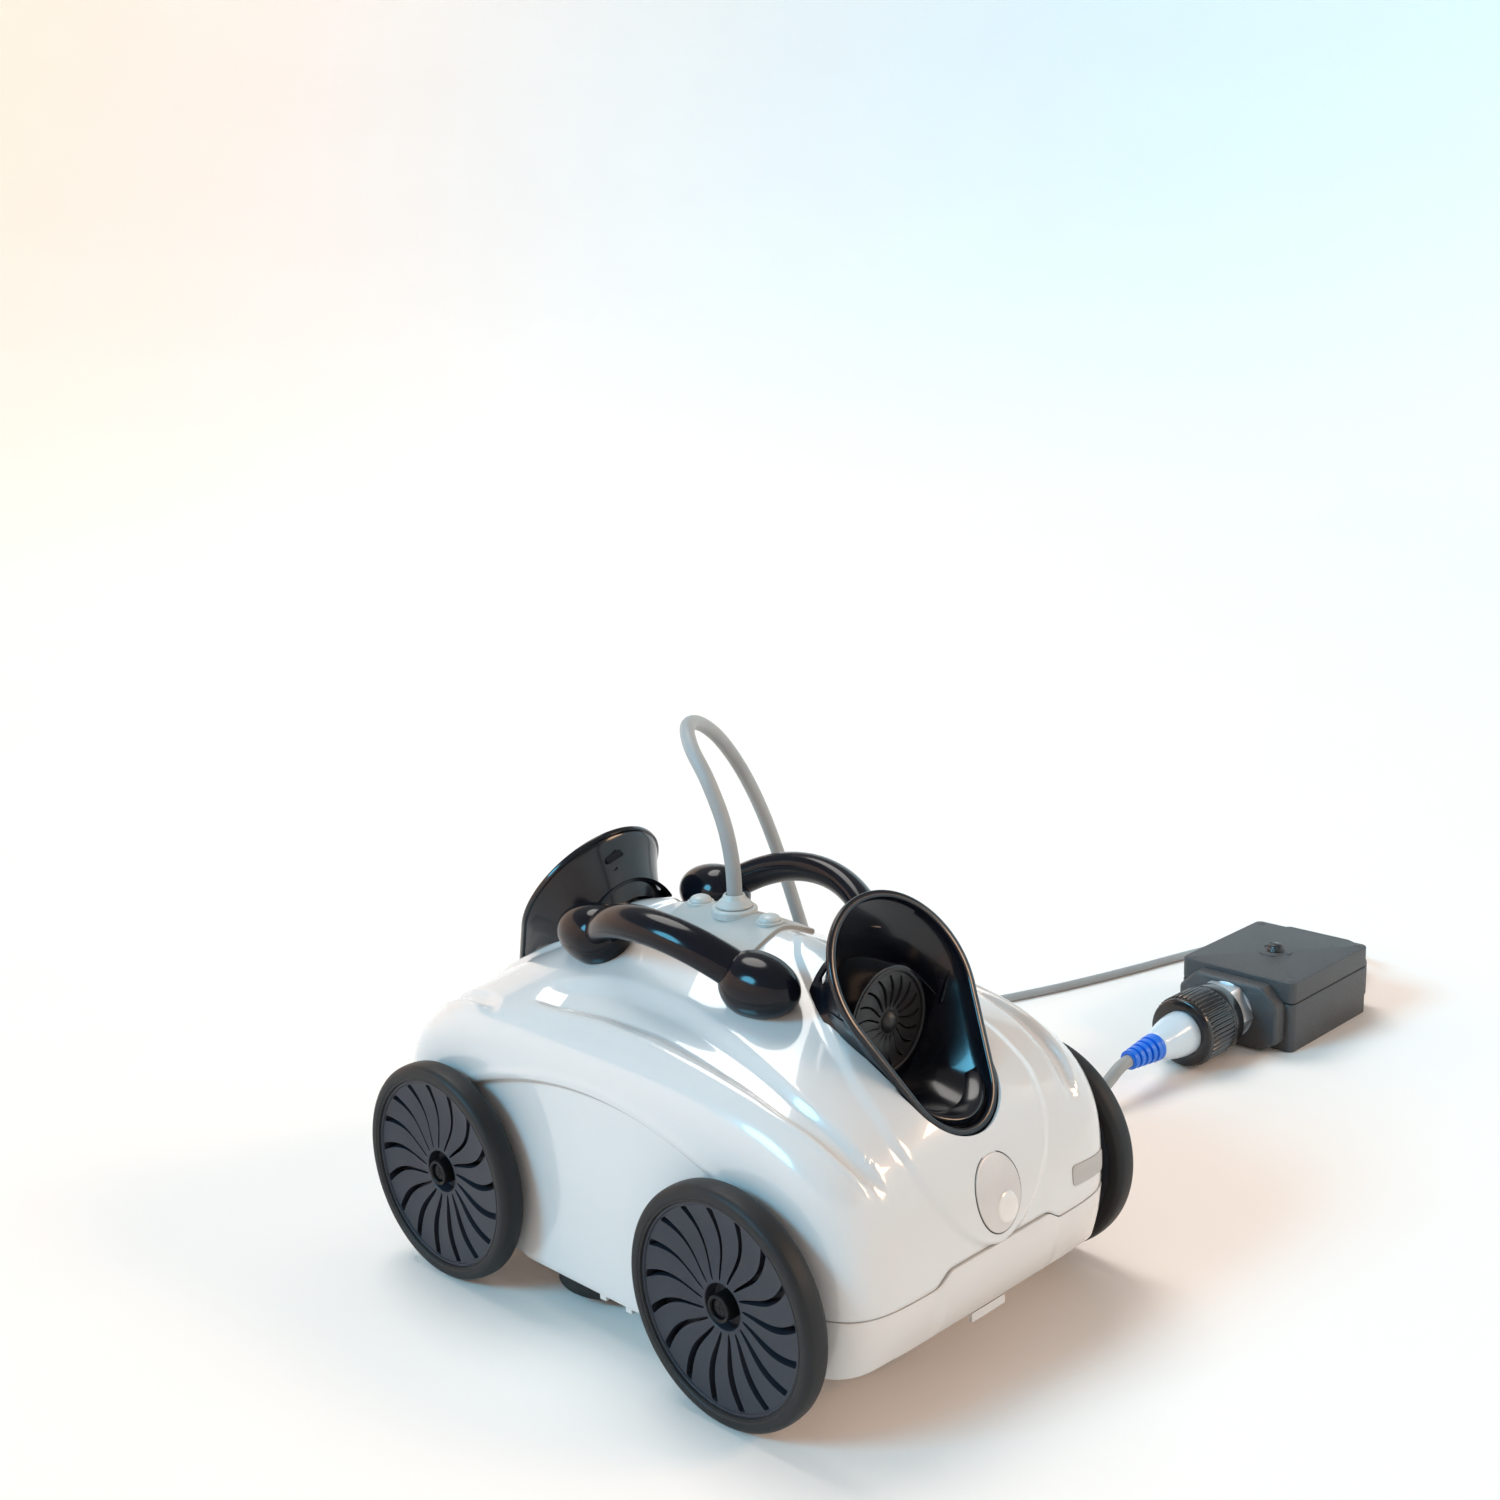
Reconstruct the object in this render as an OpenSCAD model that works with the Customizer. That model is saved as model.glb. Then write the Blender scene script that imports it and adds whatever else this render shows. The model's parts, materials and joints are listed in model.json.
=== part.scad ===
// Jet driven pool cleaner: a domed four wheeled body with two water jets,
// a swivelling tether and its power unit. Millimetres, +Z up.
// The jets face -Y and +Y. The origin is on the floor under the body's centre.

/* [Body] */
// Half of the body's length, over the bumpers
half_l = 232; // [226:1:236]
// Half of the body's width, over the fenders
half_w = 146; // [144:0.5:147]
// Height of the line where the two shells meet
parting_z = 84; // [82:1:86]
// Height of the roof's crown above that line
rise = 178; // [176:1:184]
// Wall thickness of the mouldings
wall = 3; // [2.5:0.5:3.5]
// Height of the tub's underside
belly_z = 28; // [26:1:30]

/* [Wheels] */
// Wheel radius
wheel_r = 80; // [76:1:82]
// Wheel base, from axle to axle
wheel_base = 285; // [280:1:290]
// Tyre width
tyre_w = 19; // [17:1:21]
// Distance from the centre plane to the tyre's outer face
track_half = 168; // [167.5:0.5:172]
// Radius of the wheel disc inside the tyre
disc_r = 68.5; // [66:0.5:70]
// Axle stub radius
axle_r = 6; // [5:0.5:7]
// Number of slots in a wheel disc and in a jet guard
slots = 17; // [12:1:20]

/* [Jets] */
// Height of the pump shaft
shaft_z = 217; // [215:1:218]
// Inner radius of the jet ducts
duct_r = 40; // [38:0.5:41]
// Lean of the nozzle mouths from upright
mouth_lean = 33; // [30:1:36]
// Propeller radius
prop_r = 36; // [30:1:37]

/* [Handles] */
// Distance of the handle feet from the centre plane
handle_x = 60; // [58:1:62]
// Half of the distance between a handle's feet
handle_y = 77; // [74:1:80]
// Height of the centres of the feet
handle_z = 245; // [242:0.5:246]
// Height of the handle's arch over its feet
handle_rise = 37; // [34:1:42]
// Outward lean of the handles
handle_lean = 38; // [30:1:42]

/* [Power unit] */
// Length of the enclosure
unit_l = 137; // [130:1:150]
// Width of the enclosure
unit_w = 116; // [110:1:125]
// Height of the enclosure
unit_h = 66; // [66:1:75]
// Radius of the ribbed coupling ring
ring_r = 32; // [30:0.5:33]

/* [Cords] */
// Diameter of the tether
tether_d = 10.8; // [10:0.1:11]
// Diameter of the mains lead
mains_d = 8; // [7:0.5:8]

/* [Hidden] */

$fn = 48;
clear = 0.3;

// ---- roof surface ------------------------------------------------------
crest_soft = 0.08;
crest_drop = 0.38;
outline_power = 8;
edge_power = 26;

// Share of the rise that is left at the distance u = |x| / half width
function crest(u) = 1 - crest_drop * (sqrt(u * u + crest_soft * crest_soft) - crest_soft)
    / (sqrt(1 + crest_soft * crest_soft) - crest_soft);
// Exponent of the roof's side profile at u, blunter towards the sides
function blunt(u) = 2.15 + 1.6 * u * u;
// Half length of the body's plan at u
function plan_l(u) = half_l * pow(max(1 - pow(u, outline_power), 0), 1 / outline_power);
function roof_top(u) = crest(u) * pow(max(1 - pow(u, edge_power), 0), 0.4);
function roof_end(v, n) = pow(max(1 - pow(min(v, 1), n), 0), 1 / n);
// Height of the roof's outer face at x, y
function roof_z(x, y) = let(u = min(abs(x) / half_w, 1), l = max(plan_l(u), 0.01))
    parting_z + rise * roof_top(u) * roof_end(abs(y) / l, blunt(u));
// Distance of the front face from the centre at x, z
function face_y(x, z) = let(u = abs(x) / half_w, n = blunt(u), q = (z - parting_z) / (rise * roof_top(u)))
    plan_l(u) * roof_end(q, n);
// A point of the body's plan outline in the direction a
function plan_point(a) = let(k = pow(pow(abs(cos(a)), outline_power) + pow(abs(sin(a)), outline_power),
    -1 / outline_power)) [half_w * k * cos(a), half_l * k * sin(a)];

roof_sides = 64;
roof_rings = 12;
roof_outer = [for (k = [0:roof_rings], j = [0:roof_sides - 1])
    let(r = max(sin(90 * k / roof_rings), 0.05), p = r * plan_point(360 * j / roof_sides))
    [p[0], p[1], k == roof_rings ? parting_z : roof_z(p[0], p[1])]];
roof_inner = [for (p = roof_outer) [p[0] * (1 - wall / half_w), p[1] * (1 - wall / half_l),
    parting_z + (p[2] - parting_z) * (1 - wall / rise)]];

function ring_faces(base, rings, sides, flip) = [for (k = [0:rings - 1], j = [0:sides - 1], t = [0, 1])
    let(a = base + k * sides + j, b = base + k * sides + (j + 1) % sides, c = b + sides, d = a + sides,
        f = t == 0 ? [a, b, c] : [a, c, d]) flip ? [f[2], f[1], f[0]] : f];
module roof_dome() {
    n = (roof_rings + 1) * roof_sides;
    rim = roof_rings * roof_sides;
    crown = [[0, 0, parting_z + rise], [0, 0, parting_z + rise - wall]];
    polyhedron(points = concat(roof_outer, roof_inner, crown), faces = concat(
        ring_faces(0, roof_rings, roof_sides, false), ring_faces(n, roof_rings, roof_sides, true),
        [for (j = [0:roof_sides - 1], t = [0:3]) let(m = (j + 1) % roof_sides)
            t == 0 ? [rim + j, rim + m, n + rim + m] : t == 1 ? [rim + j, n + rim + m, n + rim + j]
            : t == 2 ? [m, j, 2 * n] : [n + j, n + m, 2 * n + 1]]), convexity = 6);
}

function mean(points) = [for (i = [0:2]) [for (p = points) p[i]] * [for (p = points) 1] / len(points)];
// A closed loft through rings of equal point counts, from the first ring on
module loft(rings) {
    m = len(rings[0]);
    last = len(rings) - 1;
    low = (last + 1) * m;
    top = last * m;
    polyhedron(points = concat([for (r = rings) each r], [mean(rings[0]), mean(rings[last])]), faces = concat(
        ring_faces(0, last, m, true), [for (j = [0:m - 1], t = [0, 1]) let(k = (j + 1) % m)
            t == 0 ? [j, k, low] : [top + k, top + j, low + 1]]), convexity = 4);
}

// ---- placement helpers ---------------------------------------------------
axle_y = wheel_base / 2;
mouth_y = 171;
panel_in = 138.5;
panel_out = 141.5;
panel_end = 150;
tub_w = 137.5;
tub_l = 176;

// Draws its children at both ends, the second copy turned half round
module both_ends() {
    children();
    rotate([0, 0, 180]) children();
}
module both_sides() {
    children();
    mirror([1, 0, 0]) children();
}
module four_corners(x, y) {
    for (i = [-1, 1], j = [-1, 1]) translate([i * x, j * y, 0]) children();
}
module along_y(y0, y1, r1, r2) translate([0, y0, 0]) rotate([-90, 0, 0])
    cylinder(h = y1 - y0, r1 = r1, r2 = r2);
module along_x(x0, x1, r) translate([x0, 0, 0]) rotate([0, 90, 0]) cylinder(h = x1 - x0, r = r);
// A rectangle with round corners, centred
module round_rect(w, l, r) {
    square([w - 2 * r, l], center = true);
    square([w, l - 2 * r], center = true);
    for (i = [-1, 1], j = [-1, 1]) translate([i * (w / 2 - r), j * (l / 2 - r)]) circle(r);
}

// ---- nozzles ---------------------------------------------------------------
// Places its children in the plane of the nozzle's mouth, +Z out of the mouth
module mouth_plane(lift = 0) {
    translate([0, -mouth_y, shaft_z]) rotate([90 - mouth_lean, 0, 0]) translate([0, 0, lift]) children();
}
module mouth_egg(grow) {
    hull() {
        translate([0, 36]) circle(60 + grow, $fn = 48);
        translate([0, -29]) circle(39.5 + grow, $fn = 48);
    }
}
module hood(grow, back, lift) {
    hull() {
        mouth_plane(lift - 2) linear_extrude(2) mouth_egg(grow);
        translate([0, 0, shaft_z]) along_y(-back - 1, -back, duct_r + 4 + grow, duct_r + 4 + grow, $fn = 48);
    }
}
module nozzle() {
    difference() {
        union() {
            hood(0, 102, 5);
            mouth_plane(1) linear_extrude(4) mouth_egg(2);
        }
        hood(-3.5, 106, 8);
        translate([0, 0, shaft_z]) along_y(-120, -90, duct_r, duct_r);
    }
    translate([0, 0, shaft_z]) difference() {
        along_y(-141, -102, duct_r + 3, duct_r + 3);
        along_y(-142, -101, duct_r, duct_r);
    }
}
module front_nozzle() color([0.05, 0.05, 0.07]) nozzle();
module rear_nozzle() color([0.05, 0.05, 0.07]) rotate([0, 0, 180]) nozzle();

module guard() {
    guard_r = duct_r - 0.02;
    translate([0, 0, shaft_z]) difference() {
        union() {
            along_y(-140, -136.5, guard_r, guard_r);
            along_y(-143, -140, 6, 8);
        }
        for (k = [0:slots - 1]) rotate([0, 360 * k / slots, 0])
            translate([10, -141, -1.1]) cube([duct_r - 16, 6, 2.2]);
    }
}
module front_guard() color([0.07, 0.07, 0.08]) guard();
module rear_guard() color([0.07, 0.07, 0.08]) rotate([0, 0, 180]) guard();

// ---- shells ----------------------------------------------------------------
arch_top = 173;
arch_fall = 27;
function arch_z(y) = arch_top - arch_fall * pow(y / 130, 2);
// The side panel's outline in Y and Z, grown by g
module panel_outline(g) {
    polygon(concat([for (y = [-panel_end - g:10:panel_end + g]) [y, arch_z(y) + g]],
        [[panel_end + g, arch_z(panel_end)], [panel_end + g, belly_z + 40], [70, belly_z],
        [-70, belly_z], [-panel_end - g, belly_z + 40]]));
}
// Extrudes a Y, Z outline from x0 to x1
module side_slab(x0, x1) translate([x0, 0, 0]) rotate([90, 0, 90]) linear_extrude(x1 - x0) children();
module upper_shell() color([0.86, 0.91, 0.94]) {
    difference() {
        roof_dome();
        both_sides() side_slab(panel_out, half_w + 2) panel_outline(0);
        both_ends() {
            hood(0.6, 102, 5);
            mouth_plane(-1) linear_extrude(30) mouth_egg(2.6);
        }
        translate([0, 0, parting_z + 100]) cylinder(h = 100, r = 9.5);
        both_sides() for (i = [-1, 1]) translate([handle_x, i * handle_y, 200]) cylinder(h = 60, r = 2.8);
        for (i = [-1, 1]) translate([0, i * 34, 230]) cylinder(h = 50, r = 2);
    }
    both_sides() difference() {
        side_slab(panel_in, half_w - wall + 0.4) panel_outline(4);
        side_slab(panel_out, half_w) panel_outline(0);
        for (i = [-1, 1]) translate([0, i * axle_y, wheel_r]) along_x(panel_in - 1, half_w, 8);
    }
}
bumper_rings = [[45, 0.945], [50, 0.972], [62, 0.992], [parting_z, 1]];
module bumper_solid(inset, floor_z) {
    loft([for (b = bumper_rings) [for (j = [0:roof_sides - 1])
        let(p = plan_point(360 * j / roof_sides)) [p[0] * b[1] * (1 - inset / half_w),
            p[1] * b[1] * (1 - inset / half_l), max(b[0], floor_z) + (b[0] == parting_z ? inset / 10 : 0)]]]);
}
mouth_x = 86;
mouth_off = 42;
mouth_r = 44;
flap_hinge_x = 48;
flap_hinge_z = belly_z + wall + 4;
latch_y = -207;
latch_z = 40.5;
// Draws its children at both suction mouths, which lie point symmetric
module at_mouths() both_ends() translate([-mouth_x, mouth_off, 0]) children();
module bumpers() color([0.88, 0.86, 0.84]) {
    intersection() {
        difference() {
            bumper_solid(0, 0);
            bumper_solid(wall, 48);
        }
        both_ends() translate([-200, tub_l, 0]) cube([400, 100, 200]);
    }
    // Lugs of the tray latches
    both_ends() for (i = [-1, 1]) difference() {
        translate([i * 22 - 2, latch_y - 4, latch_z - 4]) cube([4, 8, 50 - latch_z]);
        translate([0, latch_y, latch_z]) along_x(-30, 30, 1.52);
    }
}
module lower_shell() color([0.88, 0.86, 0.84]) {
    difference() {
        translate([-tub_w, -tub_l, belly_z]) cube([2 * tub_w, 2 * tub_l, parting_z - belly_z]);
        translate([-tub_w + wall, -tub_l + wall, belly_z + wall])
            cube([2 * (tub_w - wall), 2 * (tub_l - wall), 100]);
        at_mouths() translate([0, 0, belly_z - 1]) cylinder(h = 10, r = 34);
        four_corners(tub_w - 1, axle_y) translate([0, 0, wheel_r]) along_x(-6, 6, axle_r + 0.02);
    }
    four_corners(0, axle_y) translate([0, 0, wheel_r]) both_sides() difference() {
        along_x(112, tub_w - wall + 0.1, 12);
        along_x(111, tub_w, axle_r + 0.02);
    }
    // Hinge lugs beside the flaps, and the ribs under the sides
    both_ends() translate([-flap_hinge_x, mouth_off, flap_hinge_z]) for (i = [-1, 1]) difference() {
        translate([-4, i * 30 - 2, -4.2]) cube([8, 4, 8]);
        translate([0, i * 30 - 3, 0]) rotate([-90, 0, 0]) cylinder(h = 6, r = 2);
    }
    for (y = [-28, -2]) both_sides() translate([-tub_w + 1, y, belly_z - 7]) cube([3, 6, 7.5]);
}
module shell_screws() color([0.72, 0.73, 0.74]) four_corners(104, 164) {
    translate([0, 0, belly_z + wall + 0.05]) cylinder(h = 3, r = 4.5);
    translate([0, 0, belly_z + wall + 3]) cylinder(h = 40, r = 2);
}

// ---- top plate and swivel ----------------------------------------------------
plate_w = 35;
plate_l = 46;
plate_nx = 12;
plate_ny = 8;
// A patch of the roof's surface, from the height a to the height b above it
module roof_patch(w, l, a, b) {
    row = function(y, h) [for (i = [0:plate_nx]) let(x = -w + 2 * w * i / plate_nx) [x, y, roof_z(x, y) + h]];
    rings = [for (k = [0:plate_ny]) let(y = -l + 2 * l * k / plate_ny)
        concat(row(y, b), [for (i = [plate_nx:-1:0]) row(y, a)[i]])];
    m = 2 * plate_nx + 2;
    top = plate_ny * m;
    polyhedron(points = [for (r = rings) each r], faces = concat(ring_faces(0, plate_ny, m, true),
        [for (i = [0:plate_nx - 1], t = [0, 1]) t == 0 ? [i, i + 1, m - 2 - i, m - 1 - i]
            : [top + m - 1 - i, top + m - 2 - i, top + i + 1, top + i]]), convexity = 4);
}
module top_plate() color([0.66, 0.68, 0.68]) difference() {
    roof_patch(plate_w, plate_l, 0.4, 2.8);
    translate([0, 0, 200]) cylinder(h = 100, r = 9.5);
    for (i = [-1, 1]) translate([0, i * 34, 200]) cylinder(h = 100, r = 2);
}
module plate_screws() color([0.72, 0.74, 0.74]) for (i = [-1, 1]) translate([0, i * 34, roof_z(0, 34) + 4]) {
    rotate_extrude() polygon([[0, 0], [8, 0], [8, 1.5], [6.5, 3.5], [3.5, 4.6], [0, 5]]);
    translate([0, 0, -9]) cylinder(h = 9.5, r = 1.9);
}
swivel_z = parting_z + rise + 3;
module swivel_base() color([0.66, 0.68, 0.68]) translate([0, 0, swivel_z]) difference() {
    union() {
        cylinder(h = 2, r = 16);
        translate([0, 0, -10]) cylinder(h = 10.5, r = 9.3);
    }
    translate([0, 0, -11]) cylinder(h = 20, r = 7.5);
}
module swivel_seal() color([0.1, 0.1, 0.1]) translate([0, 0, swivel_z - 6]) difference() {
    cylinder(h = 5, r = 7.45);
    translate([0, 0, -1]) cylinder(h = 7, r = tether_d / 2 + 0.05);
}
module swivel_collar() color([0.7, 0.73, 0.73]) translate([0, 0, swivel_z + 2 + clear]) difference() {
    rotate_extrude() polygon([[0, 0], [13, 0], [13, 1.5], [8, 7.5], [7.5, 9], [0, 9]]);
    translate([0, 0, -1]) cylinder(h = 16, r = tether_d / 2 + 0.4);
}

// ---- handles ---------------------------------------------------------------
arch_r = (handle_y * handle_y + handle_rise * handle_rise) / (2 * handle_rise);
arch_a = asin(handle_y / arch_r);
foot_r = 22;
foot_short = 25;
foot_long = 36;
slope_x = atan(roof_z(handle_x + 1, handle_y) - roof_z(handle_x, handle_y));
slope_y = atan(roof_z(handle_x, handle_y + 1) - roof_z(handle_x, handle_y));
module handle() difference() {
    union() {
        translate([handle_x, 0, handle_z]) rotate([0, handle_lean - 90, 0])
            translate([handle_rise - arch_r, 0, 0]) rotate([0, 0, -arch_a])
                rotate_extrude(angle = 2 * arch_a, $fn = 96)
                    polygon([for (a = [0:15:345]) [arch_r + 10 * cos(a), 13 * sin(a)]]);
        for (i = [-1, 1]) translate([handle_x, i * handle_y, handle_z]) rotate([-90 * i, 0, 0])
            rotate_extrude() polygon(concat([for (a = [-90:15:0]) [foot_r * cos(a), foot_short * sin(a)]],
                [for (a = [15:15:90]) [foot_r * cos(a), foot_long * sin(a)]]));
    }
    for (i = [-1, 1]) translate([handle_x, i * handle_y, roof_z(handle_x, handle_y) + 0.4]) {
        rotate([0, -slope_x, 0]) rotate([i * slope_y, 0, 0]) translate([-60, -60, -60]) cube([120, 120, 60]);
        translate([0, 0, -1]) cylinder(h = 16, r = 2.6);
    }
}
module right_handle() color([0.04, 0.04, 0.05]) handle();
module left_handle() color([0.04, 0.04, 0.05]) mirror([1, 0, 0]) handle();
module handle_screws() color([0.7, 0.7, 0.72]) four_corners(handle_x, handle_y)
    translate([0, 0, roof_z(handle_x, handle_y)]) {
        translate([0, 0, -12]) cylinder(h = 24, r = 2.5);
        translate([0, 0, -15]) cylinder(h = 4, r = 5);
    }

// ---- front trim --------------------------------------------------------------
// A patch of the front face, from half widths and heights, a to b mm proud
module face_patch(outline, a, b) {
    m = len(outline);
    outer = [for (p = outline) [p[0], -face_y(p[0], p[1]) - b, p[1]]];
    inner = [for (p = outline) [p[0], -face_y(p[0], p[1]) - a, p[1]]];
    c = [for (i = [0, 1]) (max([for (p = outline) p[i]]) + min([for (p = outline) p[i]])) / 2];
    mids = [for (proud = [b, a]) [c[0], -face_y(c[0], c[1]) - proud, c[1]]];
    pts = concat(outer, inner, mids);
    polyhedron(points = pts, faces = [for (j = [0:m - 1], t = [0:3]) let(k = (j + 1) % m)
        t == 0 ? [j, 2 * m, k] : t == 1 ? [m + j, m + k, 2 * m + 1]
            : t == 2 ? [j, k, m + k] : [j, m + k, m + j]]);
}
badge_z = 124;
module badge() color([0.80, 0.76, 0.72]) face_patch([for (a = [0:15:345])
    [21.5 * cos(a) * (1 - 0.06 * sin(a)), badge_z + 25 * sin(a)]], 1.2, 2.8);
module badge_stud() color([0.84, 0.82, 0.78]) face_patch([for (a = [0:20:340])
    [5.5 + 10.5 * cos(a), badge_z - 10.5 + 10.5 * sin(a)]], 3.4, 5);
module label_plate() color([0.62, 0.60, 0.58]) face_patch([[82, 99], [100, 98], [118, 97], [122, 100],
    [122, 108], [118, 111], [100, 112], [82, 113], [78, 110], [78, 102]], 0.6, 1.6);

// ---- pump ------------------------------------------------------------------
deck_z = 158;
module pump_motor() color([0.2, 0.2, 0.22]) translate([0, 0, shaft_z]) difference() {
    union() {
        along_y(-66, 66, 34, 34);
        for (y = [-56, -8, 40]) along_y(y, y + 16, 36, 36);
    }
    along_y(-70, 70, 4.05, 4.05);
}
module pump_deck() color([0.3, 0.3, 0.32]) {
    difference() {
        translate([-118, -88, deck_z]) cube([236, 176, 4]);
        for (i = [-1, 1], k = [-2:2]) translate([k * 42 - 14, i * 66 - 12, deck_z - 1]) cube([28, 24, 6]);
    }
    difference() {
        for (y = [-54, 42]) translate([-30, y, deck_z + 3.9]) cube([60, 12, 34]);
        translate([0, 0, shaft_z]) along_y(-70, 70, 36.02, 36.02);
    }
    four_corners(112, 82) translate([0, 0, belly_z + wall])
        cylinder(h = deck_z - belly_z - wall + 0.1, r = 6);
}
module shaft_seals() color([0.08, 0.08, 0.08]) translate([0, 0, shaft_z]) both_ends() difference() {
    along_y(-74, -66, 13, 13);
    along_y(-75, -65, 4.05, 4.05);
}
module pump_shaft() color([0.75, 0.76, 0.78]) translate([0, 0, shaft_z]) along_y(-129, 129, 4, 4);
module propeller() translate([0, 0, shaft_z]) {
    difference() {
        along_y(-128, -110, 9, 9);
        along_y(-129, -109, 4, 4);
    }
    for (k = [0:3]) rotate([0, 90 * k, 0]) translate([0, -119, 8])
        rotate([0, 0, 32]) translate([-9, -1.2, 0]) cube([18, 2.4, prop_r - 10]);
}
module front_propeller() color([0.12, 0.12, 0.13]) propeller();
module rear_propeller() color([0.12, 0.12, 0.13]) rotate([0, 0, 180]) propeller();

// ---- filter and intake -----------------------------------------------------
filter_w = 104;
filter_l = 74;
filter_low = 112;
module filter_ring(t, z0, z1) difference() {
    translate([-filter_w, -filter_l, z0]) cube([2 * filter_w, 2 * filter_l, z1 - z0]);
    translate([-filter_w + t, -filter_l + t, z0 - 1])
        cube([2 * (filter_w - t), 2 * (filter_l - t), z1 - z0 + 2]);
}
module filter_frame() color([0.2, 0.35, 0.6]) {
    filter_ring(6, filter_low, filter_low + 6);
    filter_ring(6, deck_z - 8, deck_z - 0.5);
    four_corners(filter_w - 3, filter_l - 3) translate([-3, -3, filter_low + 5.9])
        cube([6, 6, deck_z - filter_low - 13.8]);
}
module filter_screen() color([0.85, 0.87, 0.9]) {
    difference() {
        translate([-filter_w + 6.1, -filter_l + 6.1, filter_low])
            cube([2 * filter_w - 12.2, 2 * filter_l - 12.2, 40]);
        translate([-filter_w + 7.6, -filter_l + 7.6, filter_low - 1])
            cube([2 * filter_w - 15.2, 2 * filter_l - 15.2, 39.5]);
    }
}
module float_blocks() color([0.95, 0.95, 0.9]) both_ends() difference() {
    translate([-96, -150, 112]) cube([192, 40, 52]);
    translate([0, 0, shaft_z]) along_y(-160, -100, duct_r + 7, duct_r + 7);
}
module suction_mouths() color([0.06, 0.06, 0.07]) at_mouths() difference() {
    translate([0, 0, 8]) cylinder(h = belly_z - 8, r1 = mouth_r - 1, r2 = mouth_r);
    translate([0, 0, 7]) cylinder(h = belly_z - 6, r1 = 38, r2 = 34);
}
flap_top = belly_z + wall + clear;
module flap() color([0.12, 0.12, 0.13]) {
    translate([-mouth_x, mouth_off, flap_top]) cylinder(h = 1.8, r = 37);
    difference() {
        union() {
            translate([-flap_hinge_x - 4, mouth_off - 22, flap_top]) cube([4, 44, 3.7]);
            translate([-flap_hinge_x, 0, flap_hinge_z]) along_y(mouth_off - 27, mouth_off + 27, 3.5, 3.5);
        }
        translate([-flap_hinge_x, 0, flap_hinge_z]) along_y(mouth_off - 28, mouth_off + 28, 2.05, 2.05);
    }
}
module flap_left() flap();
module flap_right() rotate([0, 0, 180]) flap();
module latch() color([0.80, 0.78, 0.76]) translate([0, latch_y, latch_z]) difference() {
    union() {
        along_x(-19.5, 19.5, 3.2);
        translate([-17, -15, 0.6]) cube([34, 15, 2.6]);
        translate([-17, -15, -3]) cube([34, 2.6, 4]);
    }
    along_x(-30, 30, 1.55);
}
module latch_front() latch();
module latch_rear() rotate([0, 0, 180]) latch();
module hinge_pins() color([0.75, 0.76, 0.78]) both_ends() {
    translate([-flap_hinge_x, 0, flap_hinge_z]) along_y(mouth_off - 32, mouth_off + 32, 1.98, 1.98);
    translate([0, latch_y, latch_z]) along_x(-24, 24, 1.5);
}

// ---- wheels ----------------------------------------------------------------
tyre_in = track_half - tyre_w;
hub_end = track_half - 5.5;
module tyre_at(y) translate([0, y, wheel_r]) color([0.16, 0.17, 0.19]) rotate([0, -90, 0])
    rotate_extrude($fn = 128) polygon(concat([[disc_r, tyre_in]],
        [for (a = [0:30:90]) [wheel_r - 3 + 3 * sin(a), tyre_in + 3 - 3 * cos(a)]],
        [for (a = [0:30:90]) [wheel_r - 5 + 5 * cos(a), track_half - 5 + 5 * sin(a)]],
        [[disc_r + 1.5, track_half], [disc_r, track_half - 1.5]]));
module disc_at(y) translate([0, y, wheel_r]) color([0.23, 0.25, 0.29]) difference() {
    union() {
        along_x(-hub_end + 1, -hub_end + 7, disc_r);
        along_x(-hub_end, -tyre_in - 0.2, 15);
        difference() {
            along_x(-hub_end + 1, -tyre_in - 1, disc_r);
            along_x(-hub_end, -tyre_in, disc_r - 4);
        }
    }
    along_x(-track_half, -tyre_in + 1, axle_r + 0.05);
    for (k = [0:slots - 1]) rotate([360 * k / slots, 0, 0]) translate([-hub_end - 1, 20, -1])
        cube([9, disc_r - 28, 2]);
}
// Repeats its children at all four wheels, which they meet along +X
module at_axles() for (i = [-1, 1]) translate([0, i * axle_y, wheel_r]) both_sides() children();
module axle_stubs() color([0.78, 0.79, 0.8]) at_axles() difference() {
    union() {
        along_x(112, hub_end + 0.2, axle_r);
        along_x(tub_w + 5, tyre_in - 0.1, 7);
    }
    along_x(hub_end - 16, hub_end + 1, 2.5);
}
module wheel_screws() color([0.15, 0.15, 0.16]) at_axles() {
    along_x(hub_end + 0.3, hub_end + 2.3, 10);
    along_x(hub_end + 2.2, track_half - 0.4, 5.5);
    along_x(hub_end - 15, hub_end + 1, 2.48);
}
module tyre_front_left() tyre_at(-axle_y);
module tyre_rear_left() tyre_at(axle_y);
module tyre_front_right() mirror([1, 0, 0]) tyre_at(-axle_y);
module tyre_rear_right() mirror([1, 0, 0]) tyre_at(axle_y);
module disc_front_left() disc_at(-axle_y);
module disc_rear_left() disc_at(axle_y);
module disc_front_right() mirror([1, 0, 0]) disc_at(-axle_y);
module disc_rear_right() mirror([1, 0, 0]) disc_at(axle_y);

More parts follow.
